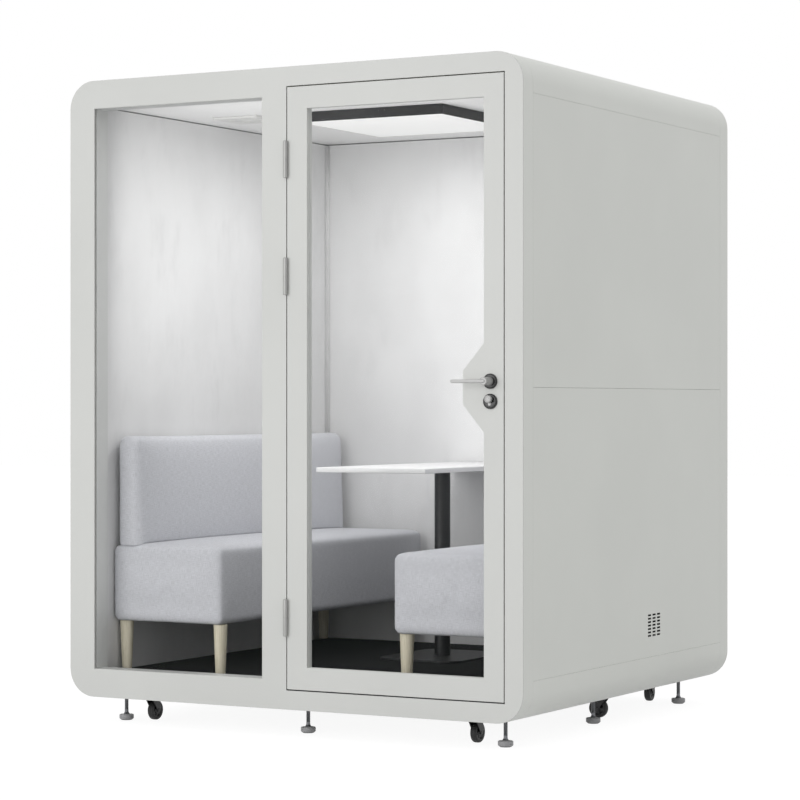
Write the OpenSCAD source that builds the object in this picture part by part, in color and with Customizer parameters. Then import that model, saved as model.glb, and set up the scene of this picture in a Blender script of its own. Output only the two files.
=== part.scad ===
// Glazed acoustic booth with two benches, a table, and levelling feet beside casters.
// Millimetres. Origin on the floor under the middle of the bounding box, +Z up, front towards -Y.
// Inside the modules, X runs from the body's left side, Y from its front face, Z from its underside.

/* [Body] */
// Width of the body
body_w = 1816; // [1780:2:1900]
// Depth of the body
body_d = 1750; // [1700:2:1850]
// Height of the body without its feet
body_h = 2200; // [2180:2:2260]
// Radius of the four long corners
corner_r = 100; // [90:1:104]
// Thickness of the outer sheet
skin_t = 2; // [1.5:0.1:3]
// Thickness of the front and rear face plates
face_t = 3; // [2:0.5:4]
// Depth of the front ring frame
front_ring_d = 73; // [71:1:78]
// Depth of the rear ring frame
rear_ring_d = 75; // [70:1:80]
// Open joint between neighbouring panels
joint_gap = 0.6; // [0.4:0.1:3]
// Gap left where one piece is seated against another
seat_gap = 0.3; // [0.2:0.05:0.4]

/* [Panels] */
// Height of the roof wrap's side legs, from the top
roof_leg_h = 135; // [125:1:160]
// Height of the bottom wrap's side legs
base_leg_h = 137; // [125:1:160]
// Depth of the folded edge of a side panel
side_fold_d = 18; // [14:1:22]
// Depth of the folded edge of a back panel
back_fold_d = 20; // [16:1:24]
// Sheet thickness of the side and back panels
panel_t = 1.5; // [1:0.1:2]
// Width of the rear frame's border around the back panels
back_border = 100; // [90:5:120]

/* [Vent] */
// Distance of the vent's first column from the front
vent_y = 1000; // [950:10:1100]
// Height of the vent's lowest slot
vent_z = 210; // [200:5:240]
// Columns of slots
vent_cols = 3; // [2:1:4]
// Rows of slots
vent_rows = 7; // [4:1:8]
// Length of a slot
vent_slot_l = 28; // [20:1:32]
// Height of a slot
vent_slot_h = 6.5; // [4:0.5:8]
// Spacing of the columns
vent_col_step = 40; // [36:1:46]
// Spacing of the rows
vent_row_step = 12.3; // [11:0.1:14]

/* [Lining] */
// Distance from the side of the body to the inner wall face
side_wall_t = 90; // [86:1:100]
// Distance from the back of the body to the inner wall face
back_wall_t = 100; // [96:1:110]
// Thickness of the front wall
front_wall_t = 83; // [81:1:90]
// Thickness of a wall lining board
liner_t = 12; // [8:1:14]
// Height of the carpet's surface above the body's underside
floor_z = 85; // [80:1:90]
// Thickness of the carpet
carpet_t = 5; // [4:0.5:8]
// Thickness of the floor deck
deck_t = 17.7; // [15:0.1:18]
// Depth of the ceiling's face below the top of the body
ceiling_drop = 85; // [75:1:100]
// Thickness of the ceiling board
ceiling_t = 12; // [10:1:15]
// Open shadow joint between wall lining and ceiling
shadow_gap = 4; // [3:0.5:6]
// Thickness of the roof's insulation board
roof_core_t = 26; // [20:1:30]
// Leg of the corner profile along the side wall
corner_leg_y = 24; // [20:1:30]
// Leg of the corner profile along the back wall
corner_leg_x = 12; // [10:1:20]
// Thickness of the corner profile
corner_t = 1.5; // [1:0.1:2]

/* [Window] */
// Left edge of the window opening
window_x = 105; // [104:1:120]
// Distance of its right edge from the body's middle
window_mid_gap = 95; // [90:1:120]
// Height of the window opening's lower edge
window_z = 100; // [98:1:110]
// Distance of its upper edge from the top of the body
window_top_gap = 100; // [98:1:110]
// Thickness of the panes
glass_t = 10; // [8:1:12]
// How far a pane is held behind the edge of its opening
glass_hold = 12; // [8:1:13]
// Thickness of the rubber around a pane
rubber_t = 1; // [0.8:0.1:1.2]
// Width of rubber that shows around a pane
rubber_show = 1; // [0.5:0.5:3]

/* [Door] */
// Distance of the door leaf's left edge from the body's middle
door_mid_gap = 6.5; // [3:0.5:12]
// Distance of its right edge from the side of the body
door_side_gap = 71; // [66.5:0.5:75]
// Height of the door leaf's lower edge
door_z = 70; // [69:0.5:72]
// Distance of its upper edge from the top of the body
door_top_gap = 71; // [64:1:74]
// Thickness of the door leaf
door_t = 46; // [44:1:48]
// Gap around the door leaf
door_gap = 4; // [3:0.5:4]
// Sheet thickness of the hollow leaf frame
door_skin = 2.5; // [2:0.1:3]
// Width of the stile at the hinges
hinge_stile = 79; // [70:1:90]
// Width of the stile at the lock
lock_stile = 73; // [72:0.5:82]
// Height of the top rail
top_rail = 76; // [70:1:95]
// Height of the bottom rail
bottom_rail = 77; // [70:0.5:95]
// Depth of the glass behind the front face of the leaf
glass_recess = 14; // [12:1:24]
// Width of the bead that holds the glass
bead_w = 4; // [2:0.5:6]
// How far the widened lock stile reaches over the glass
lock_flare = 78; // [40:1:90]
// Height of the middle of the widened lock stile
flare_z = 1099; // [1090:1:1110]
// Height of its straight part
flare_flat = 112; // [90:1:130]
// Height of each slanting part
flare_slope = 90; // [70:1:110]
// How far the stop reaches behind the leaf
stop_lap = 22; // [20:0.5:23]
// Thickness of the perimeter seal
seal_t = 3.4; // [3:0.1:3.6]
// Width of the perimeter seal
seal_w = 10; // [8:1:12]

/* [Hinges] */
// Radius of the hinge barrel
barrel_r = 8; // [7:0.5:8.5]
// Distance of the hinge axis in front of the face
hinge_out = 9; // [8.8:0.1:10]
// Height of a hinge
hinge_h = 128; // [110:1:140]
// Radius of the hinge pin
pin_r = 4; // [3:0.5:4.5]
// Depth of the hinge wings in the door gap
wing_d = 32; // [24:1:36]
// Thickness of the hinge wings
wing_t = 1.4; // [0.8:0.1:1.5]
// Height of the lower hinge's middle
low_hinge_z = 315; // [280:5:360]
// Distance of the upper hinge's middle from the top of the door leaf
top_hinge_gap = 247; // [200:1:280]
// Spacing of the two upper hinges
hinge_step = 400; // [340:5:440]
// Radial clearance of turning fits
run_gap = 0.06; // [0.03:0.01:0.08]

/* [Lock] */
// Distance of the lever and cylinder from the door's edge
backset = 48; // [47:0.5:50]
// Height of the lever's axis
lever_z = 1120; // [1116:1:1124]
// Distance of the lever's front from the face
lever_out = 58; // [50:1:65]
// Length of the lever from its axis
lever_l = 120; // [100:1:135]
// Height of the lever bar
lever_h = 12; // [10:1:16]
// Thickness of the lever bar
lever_t = 11; // [9:1:14]
// Radius of the lever's neck
neck_r = 13.5; // [11:0.5:16]
// Side of the square spindle
spindle_w = 8; // [7:0.5:9]
// Radius of the rosettes
rosette_r = 25; // [24:0.5:26]
// Thickness of the rosettes
rosette_t = 8; // [6:0.5:10]
// Height of the lower rosettes' middle
rosette_z = 1054; // [1052:1:1056]
// Height of the cylinder's barrel above the lower rosettes' middle
barrel_up = 7.5; // [6:0.5:8]
// Radius of the lock cylinder's barrel
cyl_r = 8.5; // [8:0.5:9]
// Width of the lock cylinder's tail
cyl_tail_w = 10; // [9:0.5:11]
// Depth of the tail below the barrel's axis
cyl_tail_h = 22; // [20:0.5:24]
// Radius of the turn knobs
knob_r = 13; // [11:0.5:15]
// Length of the turn knobs
knob_l = 13; // [10:1:18]
// Radius of the turn knobs' rod
knob_rod_r = 3; // [2.5:0.5:3.5]
// Thickness of the lock case
case_t = 24; // [20:1:26]
// Height of the lock case
case_h = 170; // [160:1:180]
// Height of the lock case's lower edge
case_z = 1005; // [995:1:1010]
// Depth of the lock case behind its forend
case_d = 66; // [64:1:68]
// Thickness of the lock's forend
forend_t = 2.7; // [2.6:0.1:3]
// Height of the latch bolt's middle
latch_z = 1150; // [1148:1:1152]
// Height of the latch bolt
latch_h = 24; // [20:1:26]
// Height of the dead bolt's middle
dead_z = 1092; // [1090:1:1094]
// Height of the dead bolt
dead_h = 20; // [16:1:20]
// Thickness of both bolts
bolt_t = 12; // [10:1:14]
// Length of both bolts
bolt_l = 38; // [30:1:42]
// How far the latch bolt stands out of the door's edge
latch_out = 2; // [1:0.5:2.5]
// How far the dead bolt lies inside the door's edge
dead_in = 1; // [0.5:0.5:2]
// Throw of the dead bolt
dead_throw = 14; // [10:1:16]
// Height of the strike plate
strike_h = 140; // [130:1:150]

/* [Lamp] */
// Side length of the square ceiling lamp
lamp_w = 600; // [500:5:640]
// Height of the lamp housing
lamp_h = 37; // [30:1:45]
// Wall of the lamp housing
lamp_wall = 1.5; // [1:0.5:4]
// How far the lamp's middle lies ahead of the body's middle
lamp_ahead = 5; // [0:1:20]
// Thickness of the diffuser
diffuser_t = 4; // [3:0.5:6]

/* [Fans] */
// Distance of the fans from the side of the body
fan_x = 336; // [300:2:370]
// Distance of the fans from the front
fan_y = 660; // [600:5:700]
// Side of the fan grille
grille_w = 192; // [172:1:200]
// Thickness of the grille plate
grille_t = 8; // [6:0.5:9]
// Side of the fan frame
fan_w = 156; // [152:1:160]
// Height of the fan frame
fan_h = 43; // [37:1:46]
// Radius of the fan's duct
duct_r = 73; // [71:0.5:74]
// Radius of the rotor
rotor_r = 70; // [65:0.5:70.5]
// Radius of the rotor's hub
hub_r = 25; // [20:1:28]
// Blades on a rotor
blades = 7; // [5:1:9]
// Pitch of the blades in degrees
blade_pitch = 35; // [25:1:40]
// Slots in a grille
grille_slots = 9; // [7:2:9]
// Width of a grille slot
grille_slot_w = 8; // [6:0.5:8]

/* [Benches] */
// Distance of a bench from the side wall's lining
bench_gap = 1; // [0.5:0.5:4]
// Distance of the benches' ends from the front of the body
bench_y = 120; // [110:1:150]
// Depth of a seat, across the booth
seat_w = 472; // [440:1:490]
// Gap between the benches' rear ends and the back wall
bench_end_gap = 37; // [20:1:120]
// Thickness of a seat at its edge
seat_h = 270; // [240:1:290]
// Height of a seat's underside above the carpet
seat_up = 178; // [160:1:200]
// Rise of a seat's crown
seat_crown = 4; // [2:0.5:8]
// Thickness of a backrest at half its height
back_t = 92; // [80:1:110]
// How much thicker a backrest is at its foot than at its top
back_lean = 20; // [0:1:24]
// Height of a backrest
back_h = 390; // [340:1:420]
// How much shorter a backrest is at each end
back_short = 7.5; // [0:0.5:30]
// Distance of a backrest from the wall side of its seat
back_inset = 12; // [10:1:30]
// Rise of a backrest's crown
back_crown = 3; // [1:0.5:6]
// Radius of the cushions' edges
soft_r = 20; // [12:1:24]
// How far the cushions' sides draw in
draw_in = 2.5; // [1:0.5:4]
// Radius of a bench leg at its top
leg_top_r = 25; // [20:0.5:28]
// Radius of a bench leg at its foot
leg_foot_r = 18; // [14:0.5:20]
// Distance of a leg's axis from the long edges of the seat
leg_inset_x = 34; // [30:1:50]
// Distance of a leg's axis from the ends of the seat
leg_inset_y = 54; // [30:1:80]

/* [Table] */
// Width of the table top
table_w = 454; // [420:1:500]
// Gap between the table top and the back wall
table_end_gap = 10; // [5:1:120]
// Thickness of the table top
table_t = 18; // [12:1:25]
// Height of the table top's surface above the carpet
table_up = 729; // [700:1:760]
// Distance of the table from the front
table_y = 580; // [570:1:700]
// Radius of the table post
post_r = 30; // [25:1:32]
// Wall of the table post
post_wall = 2.5; // [2:0.5:4]
// How far the post stands behind the middle of the table top
post_back = 20; // [0:1:40]
// Width of the base plate
foot_plate_w = 346; // [300:2:400]
// Length of the base plate
foot_plate_l = 434; // [380:2:460]
// Thickness of the base plate
foot_plate_t = 8; // [6:1:12]
// Radius of the base plate's corners
foot_plate_r = 60; // [20:5:80]
// Side of the square plate under the top
head_plate_w = 220; // [180:5:260]
// Thickness of the plate under the top
head_plate_t = 5; // [4:0.5:8]

/* [Underframe] */
// Width of the frame tubes
tube_w = 60; // [50:1:60]
// Wall of the frame tubes
tube_wall = 3; // [2:0.5:4]
// Distance of the outer feet from the sides
foot_x = 140; // [134:1:150]
// How much farther inside the middle side feet stand
mid_foot_in = 18; // [0:1:22]
// Distance of the outer feet from front and back
foot_y = 150; // [145:1:160]
// Height of the body's underside above the floor
foot_h = 95; // [92:1:96]
// Radius of a foot's pad
pad_r = 26; // [22:0.5:28]
// Height of a foot's pad
pad_h = 20; // [15:1:24]
// Height of the cone above the pad
cone_h = 10; // [8:0.5:14]
// Radius of the cone at its foot
cone_r = 12.5; // [10:0.5:15]
// Radius of the threaded stem
stem_r = 7; // [6:0.5:8]
// How far stems reach into the underframe
stem_in = 48; // [30:1:52]
// Radius of the bosses that hold the stems
boss_r = 15; // [13:0.5:18]

/* [Casters] */
// Radius of a caster wheel
wheel_r = 35; // [32:0.5:36]
// Width of a caster wheel
wheel_w = 24; // [20:1:28]
// Height of the casters' wheels above the floor
wheel_lift = 5; // [3:0.5:6]
// Distance of the wheel's axle from the swivel axis
trail = 22; // [18:1:26]
// Radius of the swivel head
head_r = 26; // [24:1:28]
// Height of the swivel head
head_h = 10; // [8:0.5:11]
// Thickness of the fork's cheeks
cheek_t = 3; // [2:0.5:4]
// Gap between cheek and wheel
cheek_gap = 1.2; // [0.8:0.1:2]
// Radius of the axle
axle_r = 4; // [3:0.5:5]
// Distance of the corner casters from the sides
caster_x = 254; // [245:1:270]
// Distance of the corner casters from front and back
caster_y = 145; // [140:1:150]
// Distance of the middle casters from the sides
side_caster_x = 173; // [168:1:180]
// How far the middle casters stand behind the middle feet
side_caster_back = 125; // [115:1:160]

/* [Hidden] */

$fn = 48;
soft_fn = 6;
cut = 1;

// Where the body's left front lower corner lies in the part's frame
left_x = -body_w / 2;
front_y = lever_out - (body_d + lever_out) / 2;
mid_x = body_w / 2;
mid_joint_z = body_h / 2;
ceiling_z = body_h - ceiling_drop;

// Window opening and door leaf fill what the frame leaves them
window_w = mid_x - window_mid_gap - window_x;
window_h = body_h - window_top_gap - window_z;
door_x = mid_x + door_mid_gap;
door_w = body_w - door_side_gap - door_x;
door_h = body_h - door_top_gap - door_z;
top_hinge_z = door_z + door_h - top_hinge_gap;
hinge_z = [low_hinge_z, top_hinge_z - hinge_step, top_hinge_z];

// Faces of the lining
inner_l = side_wall_t;
inner_r = body_w - side_wall_t;
inner_b = body_d - back_wall_t;
// Cores start behind the folded edges of the panels
core_l = side_fold_d + seat_gap;
core_b = body_d - back_fold_d - seat_gap;
deck_z = floor_z - carpet_t - deck_t;
core_top = ceiling_z - seat_gap;
plate_y = front_ring_d + seat_gap;
shell_y0 = front_ring_d + joint_gap / 2;
shell_y1 = body_d - rear_ring_d - joint_gap / 2;

// Back of the window's rubber
pane_y1 = face_t + glass_t + 2 * rubber_t;

// Doorway and its stop
way_x0 = door_x - door_gap;
way_x1 = door_x + door_w + door_gap;
way_z0 = door_z - door_gap;
way_z1 = door_z + door_h + door_gap;
stop_y = door_t + seat_gap + seal_t;
stop_t = face_t;

// Door furniture
lock_x = door_x + door_w - backset;
cyl_z = rosette_z + barrel_up;
hinge_x = door_x - door_gap / 2;
bolt_y = door_t / 2;
opening_x0 = door_x + hinge_stile;
opening_x1 = door_x + door_w - lock_stile;
opening_z0 = door_z + bottom_rail;
opening_z1 = door_z + door_h - top_rail;
strike_z0 = (latch_z + dead_z - strike_h) / 2;
strike_z1 = strike_z0 + strike_h;
forend_z0 = case_z - door_skin;
forend_z1 = case_z + case_h + door_skin;

// Benches, table and lamp, which reach from their fronts towards the back wall
seat_l = inner_b - bench_end_gap - bench_y;
back_l = seat_l - 2 * back_short;
table_l = inner_b - table_end_gap - table_y;
post_y = table_y + table_l / 2 + post_back;
lamp_y = body_d / 2 - lamp_ahead;
seat_z = floor_z + seat_up;
// A backrest stands on the seat's crown, which its lower edge meets one soft edge short of its face
foot_k = 1 + back_lean / (2 * back_t);
crown_k = 1 - (back_inset + (back_t - soft_r) * foot_k - soft_r) / (seat_w / 2 - soft_r);
rest_z = seat_z + seat_h + seat_crown * (1 - pow(crown_k, 2)) + seat_gap;
table_z = floor_z + table_up - table_t;
lamp_z = ceiling_z - seat_gap - lamp_h;
fan_z = ceiling_z - grille_t;
fan_pin_r = 3;
rotor_z = grille_t + 4;
rotor_h = fan_h - grille_t - 10;

// Underframe
rail_z0 = skin_t + seat_gap;
rail_z1 = deck_z - seat_gap;
stem_hole = stem_r + 2;
wheel_z = wheel_lift + wheel_r - foot_h;
mid_foot_y = body_d / 2;
side_caster_y = mid_foot_y + side_caster_back;
foot_places = [
    [foot_x, foot_y], [mid_x, foot_y], [body_w - foot_x, foot_y],
    [foot_x + mid_foot_in, mid_foot_y], [body_w - foot_x - mid_foot_in, mid_foot_y],
    [foot_x, body_d - foot_y], [mid_x, body_d - foot_y], [body_w - foot_x, body_d - foot_y]
];
// X, Y and resting direction of each caster: front, rear and middle pairs, left before right
caster_places = [
    [caster_x, caster_y, 90], [body_w - caster_x, caster_y, 90],
    [caster_x, body_d - caster_y, -90], [body_w - caster_x, body_d - caster_y, -85],
    [side_caster_x, side_caster_y, 0], [body_w - side_caster_x, side_caster_y, 180]
];

// Colours
paint = [0.83, 0.83, 0.81];
side_paint = [0.77, 0.78, 0.75];
board = [0.86, 0.86, 0.86];
fabric = [0.74, 0.75, 0.77];
steel = [0.72, 0.72, 0.72];
dark = [0.10, 0.10, 0.11];
rubber = [0.13, 0.13, 0.13];
pale_wood = [0.85, 0.78, 0.66];
pane = [0.82, 0.88, 0.88, 0.35];

// Puts what is drawn in body coordinates into the part's frame
module at_body() {
    translate([left_x, front_y, foot_h]) children();
}

// Carries a flat outline in X and Z from depth y0 to depth y1
module through_y(y0, y1) {
    translate([0, y1, 0]) rotate([90, 0, 0]) linear_extrude(height = y1 - y0) children();
}

// A box between two corners
module span(a, b) {
    translate(a) cube(b - a);
}

// Rectangle with round corners, made of squares and circles so that its arcs stay true
module round_rect(w, h, r) {
    translate([r, 0]) square([w - 2 * r, h]);
    translate([0, r]) square([w, h - 2 * r]);
    for (x = [r, w - r], z = [r, h - r]) translate([x, z]) circle(r);
}

// Outline of the body, drawn in by a wall
module body_outline(inset) {
    translate([inset, inset])
        round_rect(body_w - 2 * inset, body_h - 2 * inset, corner_r - inset);
}

// Rectangle between two corners in X and Z, grown on all sides
module opening(x0, z0, x1, z1, grow = 0) {
    translate([x0 - grow, z0 - grow]) square([x1 - x0 + 2 * grow, z1 - z0 + 2 * grow]);
}

module window_opening(grow = 0) {
    opening(window_x, window_z, window_x + window_w, window_z + window_h, grow);
}

module doorway(grow = 0) {
    opening(way_x0, way_z0, way_x1, way_z1, grow);
}

// The doorway that is left inside the stop
module clear_way(grow = 0) {
    opening(door_x, door_z, door_x + door_w, door_z + door_h, grow - stop_lap);
}

// Folded panel that lies in the YZ plane with its sheet at X = 0 and its edges folded towards +X
module side_pan(y0, z0, y1, z1) {
    difference() {
        span([0, y0, z0], [side_fold_d, y1, z1]);
        span([panel_t, y0 + panel_t, z0 + panel_t], [side_fold_d + cut, y1 - panel_t, z1 - panel_t]);
    }
}

// Lower and upper side panel of one side, seated between the bottom wrap and the roof wrap
module side_pans() {
    side_pan(shell_y0, base_leg_h + seat_gap / 2, shell_y1, mid_joint_z - joint_gap / 2);
    side_pan(shell_y0, mid_joint_z + joint_gap / 2, shell_y1, body_h - roof_leg_h - seat_gap / 2);
}

// Mirrors what is drawn for the left side to the right side
module on_right() {
    translate([body_w, 0, 0]) mirror([1, 0, 0]) children();
}

// Slots of the side vent, cut along X between two depths
module vent_slots(x0, x1) {
    for (c = [0:vent_cols - 1], r = [0:vent_rows - 1])
        translate([x0, vent_y + c * vent_col_step, vent_z + r * vent_row_step])
            cube([x1 - x0, vent_slot_l, vent_slot_h]);
}

// Rectangular tube frame that runs along the rails and cross members, drawn in by a wall
module tube_grid(inset) {
    half = tube_w / 2 - inset;
    reach = inset > 0 ? cut : 0;
    rail_y0 = face_t + seat_gap;
    for (x = [foot_x, mid_x, body_w - foot_x])
        span([x - half, rail_y0 - reach, rail_z0 + inset],
             [x + half, body_d - rail_y0 + reach, rail_z1 - inset]);
    for (y = [foot_y, mid_foot_y, body_d - foot_y])
        span([foot_x - tube_w / 2 - reach, y - half, rail_z0 + inset],
             [body_w - foot_x + tube_w / 2 + reach, y + half, rail_z1 - inset]);
}

module base_frame() {
    color(dark) at_body() difference() {
        union() {
            difference() {
                tube_grid(0);
                tube_grid(tube_wall);
            }
            for (p = concat(foot_places, caster_places))
                translate([p[0], p[1], rail_z0]) cylinder(r = boss_r, h = rail_z1 - rail_z0);
        }
        for (p = concat(foot_places, caster_places))
            translate([p[0], p[1], rail_z0 - cut])
                cylinder(r = stem_r + run_gap, h = rail_z1 - rail_z0 + 2 * cut);
    }
}

module base_shell() {
    color(side_paint) at_body() difference() {
        through_y(shell_y0, shell_y1) difference() {
            body_outline(0);
            body_outline(skin_t);
            translate([-cut, base_leg_h - seat_gap / 2]) square([body_w + 2 * cut, body_h]);
        }
        for (p = concat(foot_places, caster_places))
            translate([p[0], p[1], -cut]) cylinder(r = stem_hole, h = skin_t + 2 * cut);
    }
}

module roof_shell() {
    color(side_paint) at_body() through_y(shell_y0, shell_y1) difference() {
        body_outline(0);
        body_outline(skin_t);
        translate([-cut, -cut])
            square([body_w + 2 * cut, body_h - roof_leg_h + seat_gap / 2 + cut]);
    }
}

module front_frame() {
    color(paint) at_body() difference() {
        through_y(0, front_ring_d) body_outline(0);
        difference() {
            through_y(face_t, front_ring_d + cut) body_outline(skin_t);
            through_y(0, stop_y) doorway(skin_t);
        }
        through_y(-cut, front_ring_d) window_opening();
        through_y(-cut, front_ring_d) doorway();
        // Cut-out that takes the strike plate
        span([way_x1 - cut, bolt_y - case_t / 2, strike_z0],
             [way_x1 + skin_t + cut, bolt_y + case_t / 2, strike_z1]);
    }
}

module rear_frame() {
    color(side_paint) at_body() difference() {
        through_y(body_d - rear_ring_d, body_d) body_outline(0);
        through_y(body_d - rear_ring_d - cut, body_d - face_t) body_outline(skin_t);
        through_y(body_d - rear_ring_d, body_d + cut)
            opening(back_border, back_border, body_w - back_border, body_h - back_border);
    }
}

module side_panels_left() {
    color(side_paint) at_body() side_pans();
}

module side_panels_right() {
    color(side_paint) at_body() on_right() difference() {
        side_pans();
        vent_slots(-cut, panel_t + cut);
    }
}

// One folded back panel between two heights
module back_pan(z0, z1) {
    x0 = back_border + joint_gap / 2;
    difference() {
        span([x0, body_d - back_fold_d, z0], [body_w - x0, body_d, z1]);
        span([x0 + panel_t, body_d - back_fold_d - cut, z0 + panel_t],
             [body_w - x0 - panel_t, body_d - panel_t, z1 - panel_t]);
    }
}

module back_panels() {
    color(side_paint) at_body() {
        back_pan(back_border + joint_gap / 2, mid_joint_z - joint_gap / 2);
        back_pan(mid_joint_z + joint_gap / 2, body_h - back_border - joint_gap / 2);
    }
}

module side_core() {
    span([core_l, front_wall_t + seat_gap, deck_z + deck_t + seat_gap],
         [side_wall_t - liner_t - seat_gap, inner_b + liner_t, core_top]);
}

module panel_cores() {
    color([0.35, 0.36, 0.38]) at_body() {
        side_core();
        // The right core has a duct behind the vent
        on_right() difference() {
            side_core();
            span([0, vent_y - cut, vent_z - cut],
                 [side_wall_t, vent_y + vent_cols * vent_col_step, vent_z + vent_rows * vent_row_step]);
        }
        span([core_l, inner_b + liner_t + seat_gap, deck_z + deck_t + seat_gap],
             [body_w - core_l, core_b, core_top]);
        // Roof board, which reaches into both ring frames
        span([corner_r + cut, face_t + seat_gap, body_h - skin_t - seat_gap - roof_core_t],
             [body_w - corner_r - cut, body_d - face_t - seat_gap, body_h - skin_t - seat_gap]);
        // Floor deck on the underframe
        span([core_l, front_wall_t + seat_gap, deck_z], [body_w - core_l, core_b, deck_z + deck_t]);
    }
}

module front_liner() {
    color(paint) at_body() difference() {
        union() {
            span([core_l, plate_y, deck_z], [body_w - core_l, front_wall_t, core_top]);
            // Sleeve of the window, with the flange that presses on its rubber
            through_y(pane_y1, pane_y1 + skin_t) window_opening(glass_hold);
            through_y(pane_y1, plate_y + cut) window_opening(skin_t);
            // Sleeve of the doorway, with the stop that carries its seal
            through_y(stop_y, stop_y + stop_t) doorway(skin_t);
            through_y(stop_y, plate_y + cut) clear_way(skin_t);
        }
        through_y(0, front_wall_t + cut) window_opening();
        through_y(0, front_wall_t + cut) clear_way();
    }
}

module side_liner() {
    span([side_wall_t - liner_t, front_wall_t + seat_gap, deck_z + deck_t + seat_gap],
         [side_wall_t, inner_b - seat_gap, ceiling_z - shadow_gap]);
}

module wall_liners() {
    color(board) at_body() {
        side_liner();
        on_right() difference() {
            side_liner();
            vent_slots(0, side_wall_t + cut);
        }
        span([side_wall_t - liner_t, inner_b, deck_z + deck_t + seat_gap],
             [body_w - side_wall_t + liner_t, inner_b + liner_t, ceiling_z - shadow_gap]);
    }
}

module ceiling_panel() {
    color(board) at_body() difference() {
        span([core_l, front_wall_t + seat_gap, ceiling_z],
             [body_w - core_l, core_b, ceiling_z + ceiling_t]);
        for (x = [fan_x, body_w - fan_x])
            translate([x, fan_y, ceiling_z])
                cube([fan_w + 2 * seat_gap, fan_w + 2 * seat_gap, 3 * ceiling_t], center = true);
    }
}

// Angle that covers a rear corner of the lining
module corner_profile() {
    z0 = floor_z + seat_gap;
    z1 = ceiling_z - shadow_gap;
    x0 = inner_l + seat_gap;
    y1 = inner_b - seat_gap;
    span([x0, y1 - corner_leg_y, z0], [x0 + corner_t, y1, z1]);
    span([x0, y1 - corner_t, z0], [x0 + corner_leg_x, y1, z1]);
}

module corner_profiles() {
    color(steel) at_body() {
        corner_profile();
        on_right() corner_profile();
    }
}

module carpet() {
    color(dark) at_body()
        span([inner_l + seat_gap, front_wall_t + seat_gap, floor_z - carpet_t],
             [inner_r - seat_gap, inner_b - seat_gap, floor_z]);
}

module window_glass() {
    color(pane) at_body()
        through_y(face_t + rubber_t, face_t + rubber_t + glass_t)
            window_opening(glass_hold - 2 * rubber_t);
}

// Channel of rubber around the pane; its rear leg ends flush with the sleeve
module window_gasket() {
    color(rubber) at_body() difference() {
        through_y(face_t, pane_y1) window_opening(glass_hold - rubber_t);
        through_y(0, face_t + 2 * rubber_t) window_opening(-rubber_show);
        through_y(face_t + 2 * rubber_t, pane_y1 + cut) window_opening();
        through_y(face_t + rubber_t, face_t + rubber_t + glass_t)
            window_opening(glass_hold - 2 * rubber_t);
    }
}

// Rectangular bar of a bolt, with its middle at height z and its free end at X = tip
module bolt_bar(tip, z, h, grow = 0, length = bolt_l) {
    span([tip - length, bolt_y - bolt_t / 2 - grow, z - h / 2 - grow],
         [tip, bolt_y + bolt_t / 2 + grow, z + h / 2 + grow]);
}

// Lower half of a hinge with the pin fixed in it, and its wing on the frame
module frame_hinge(z) {
    translate([hinge_x, -hinge_out, z]) {
        translate([0, 0, -hinge_h / 2]) {
            cylinder(r = barrel_r, h = (hinge_h - seat_gap) / 2);
            translate([-door_gap / 2, 0, 0]) cube([wing_t, wing_d + hinge_out, hinge_h / 2 - seat_gap]);
        }
        translate([0, 0, -hinge_h / 4]) cylinder(r = pin_r, h = hinge_h * 0.7);
    }
}

// Upper half of a hinge, bored for the pin, and its wing on the door's edge
module door_hinge(z) {
    translate([hinge_x, -hinge_out, z]) difference() {
        union() {
            translate([0, 0, seat_gap / 2]) cylinder(r = barrel_r, h = (hinge_h - seat_gap) / 2);
            translate([door_gap / 2 - wing_t, 0, seat_gap])
                cube([wing_t, wing_d + hinge_out, hinge_h / 2 - seat_gap]);
        }
        translate([0, 0, -cut]) cylinder(r = pin_r + run_gap, h = hinge_h * 0.45 + 2 * cut);
    }
}

module frame_hardware() {
    color(steel) at_body() {
        for (z = hinge_z) frame_hinge(z);
        // Strike plate, let in flush with the doorway's side
        difference() {
            span([way_x1, bolt_y - case_t / 2 + seat_gap, strike_z0 + seat_gap],
                 [way_x1 + skin_t, bolt_y + case_t / 2 - seat_gap, strike_z1 - seat_gap]);
            bolt_bar(way_x1 + skin_t + cut, latch_z, latch_h, cut);
            bolt_bar(way_x1 + skin_t + cut, dead_z, dead_h, cut);
        }
    }
}

// Rubber against which the door closes
module door_seal() {
    color(rubber) at_body() through_y(stop_y - seal_t, stop_y) difference() {
        clear_way(seal_w);
        clear_way();
    }
}

module lamp_housing() {
    color(dark) at_body() translate([mid_x, lamp_y, lamp_z]) difference() {
        translate([-lamp_w / 2, -lamp_w / 2, 0]) cube([lamp_w, lamp_w, lamp_h]);
        translate([lamp_wall - lamp_w / 2, lamp_wall - lamp_w / 2, -cut])
            cube([lamp_w - 2 * lamp_wall, lamp_w - 2 * lamp_wall, lamp_h - lamp_wall + cut]);
    }
}

module lamp_diffuser() {
    side = lamp_w - 2 * lamp_wall - 2 * seat_gap;
    color("white") at_body() translate([mid_x - side / 2, lamp_y - side / 2, lamp_z])
        cube([side, side, diffuser_t]);
}

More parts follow.
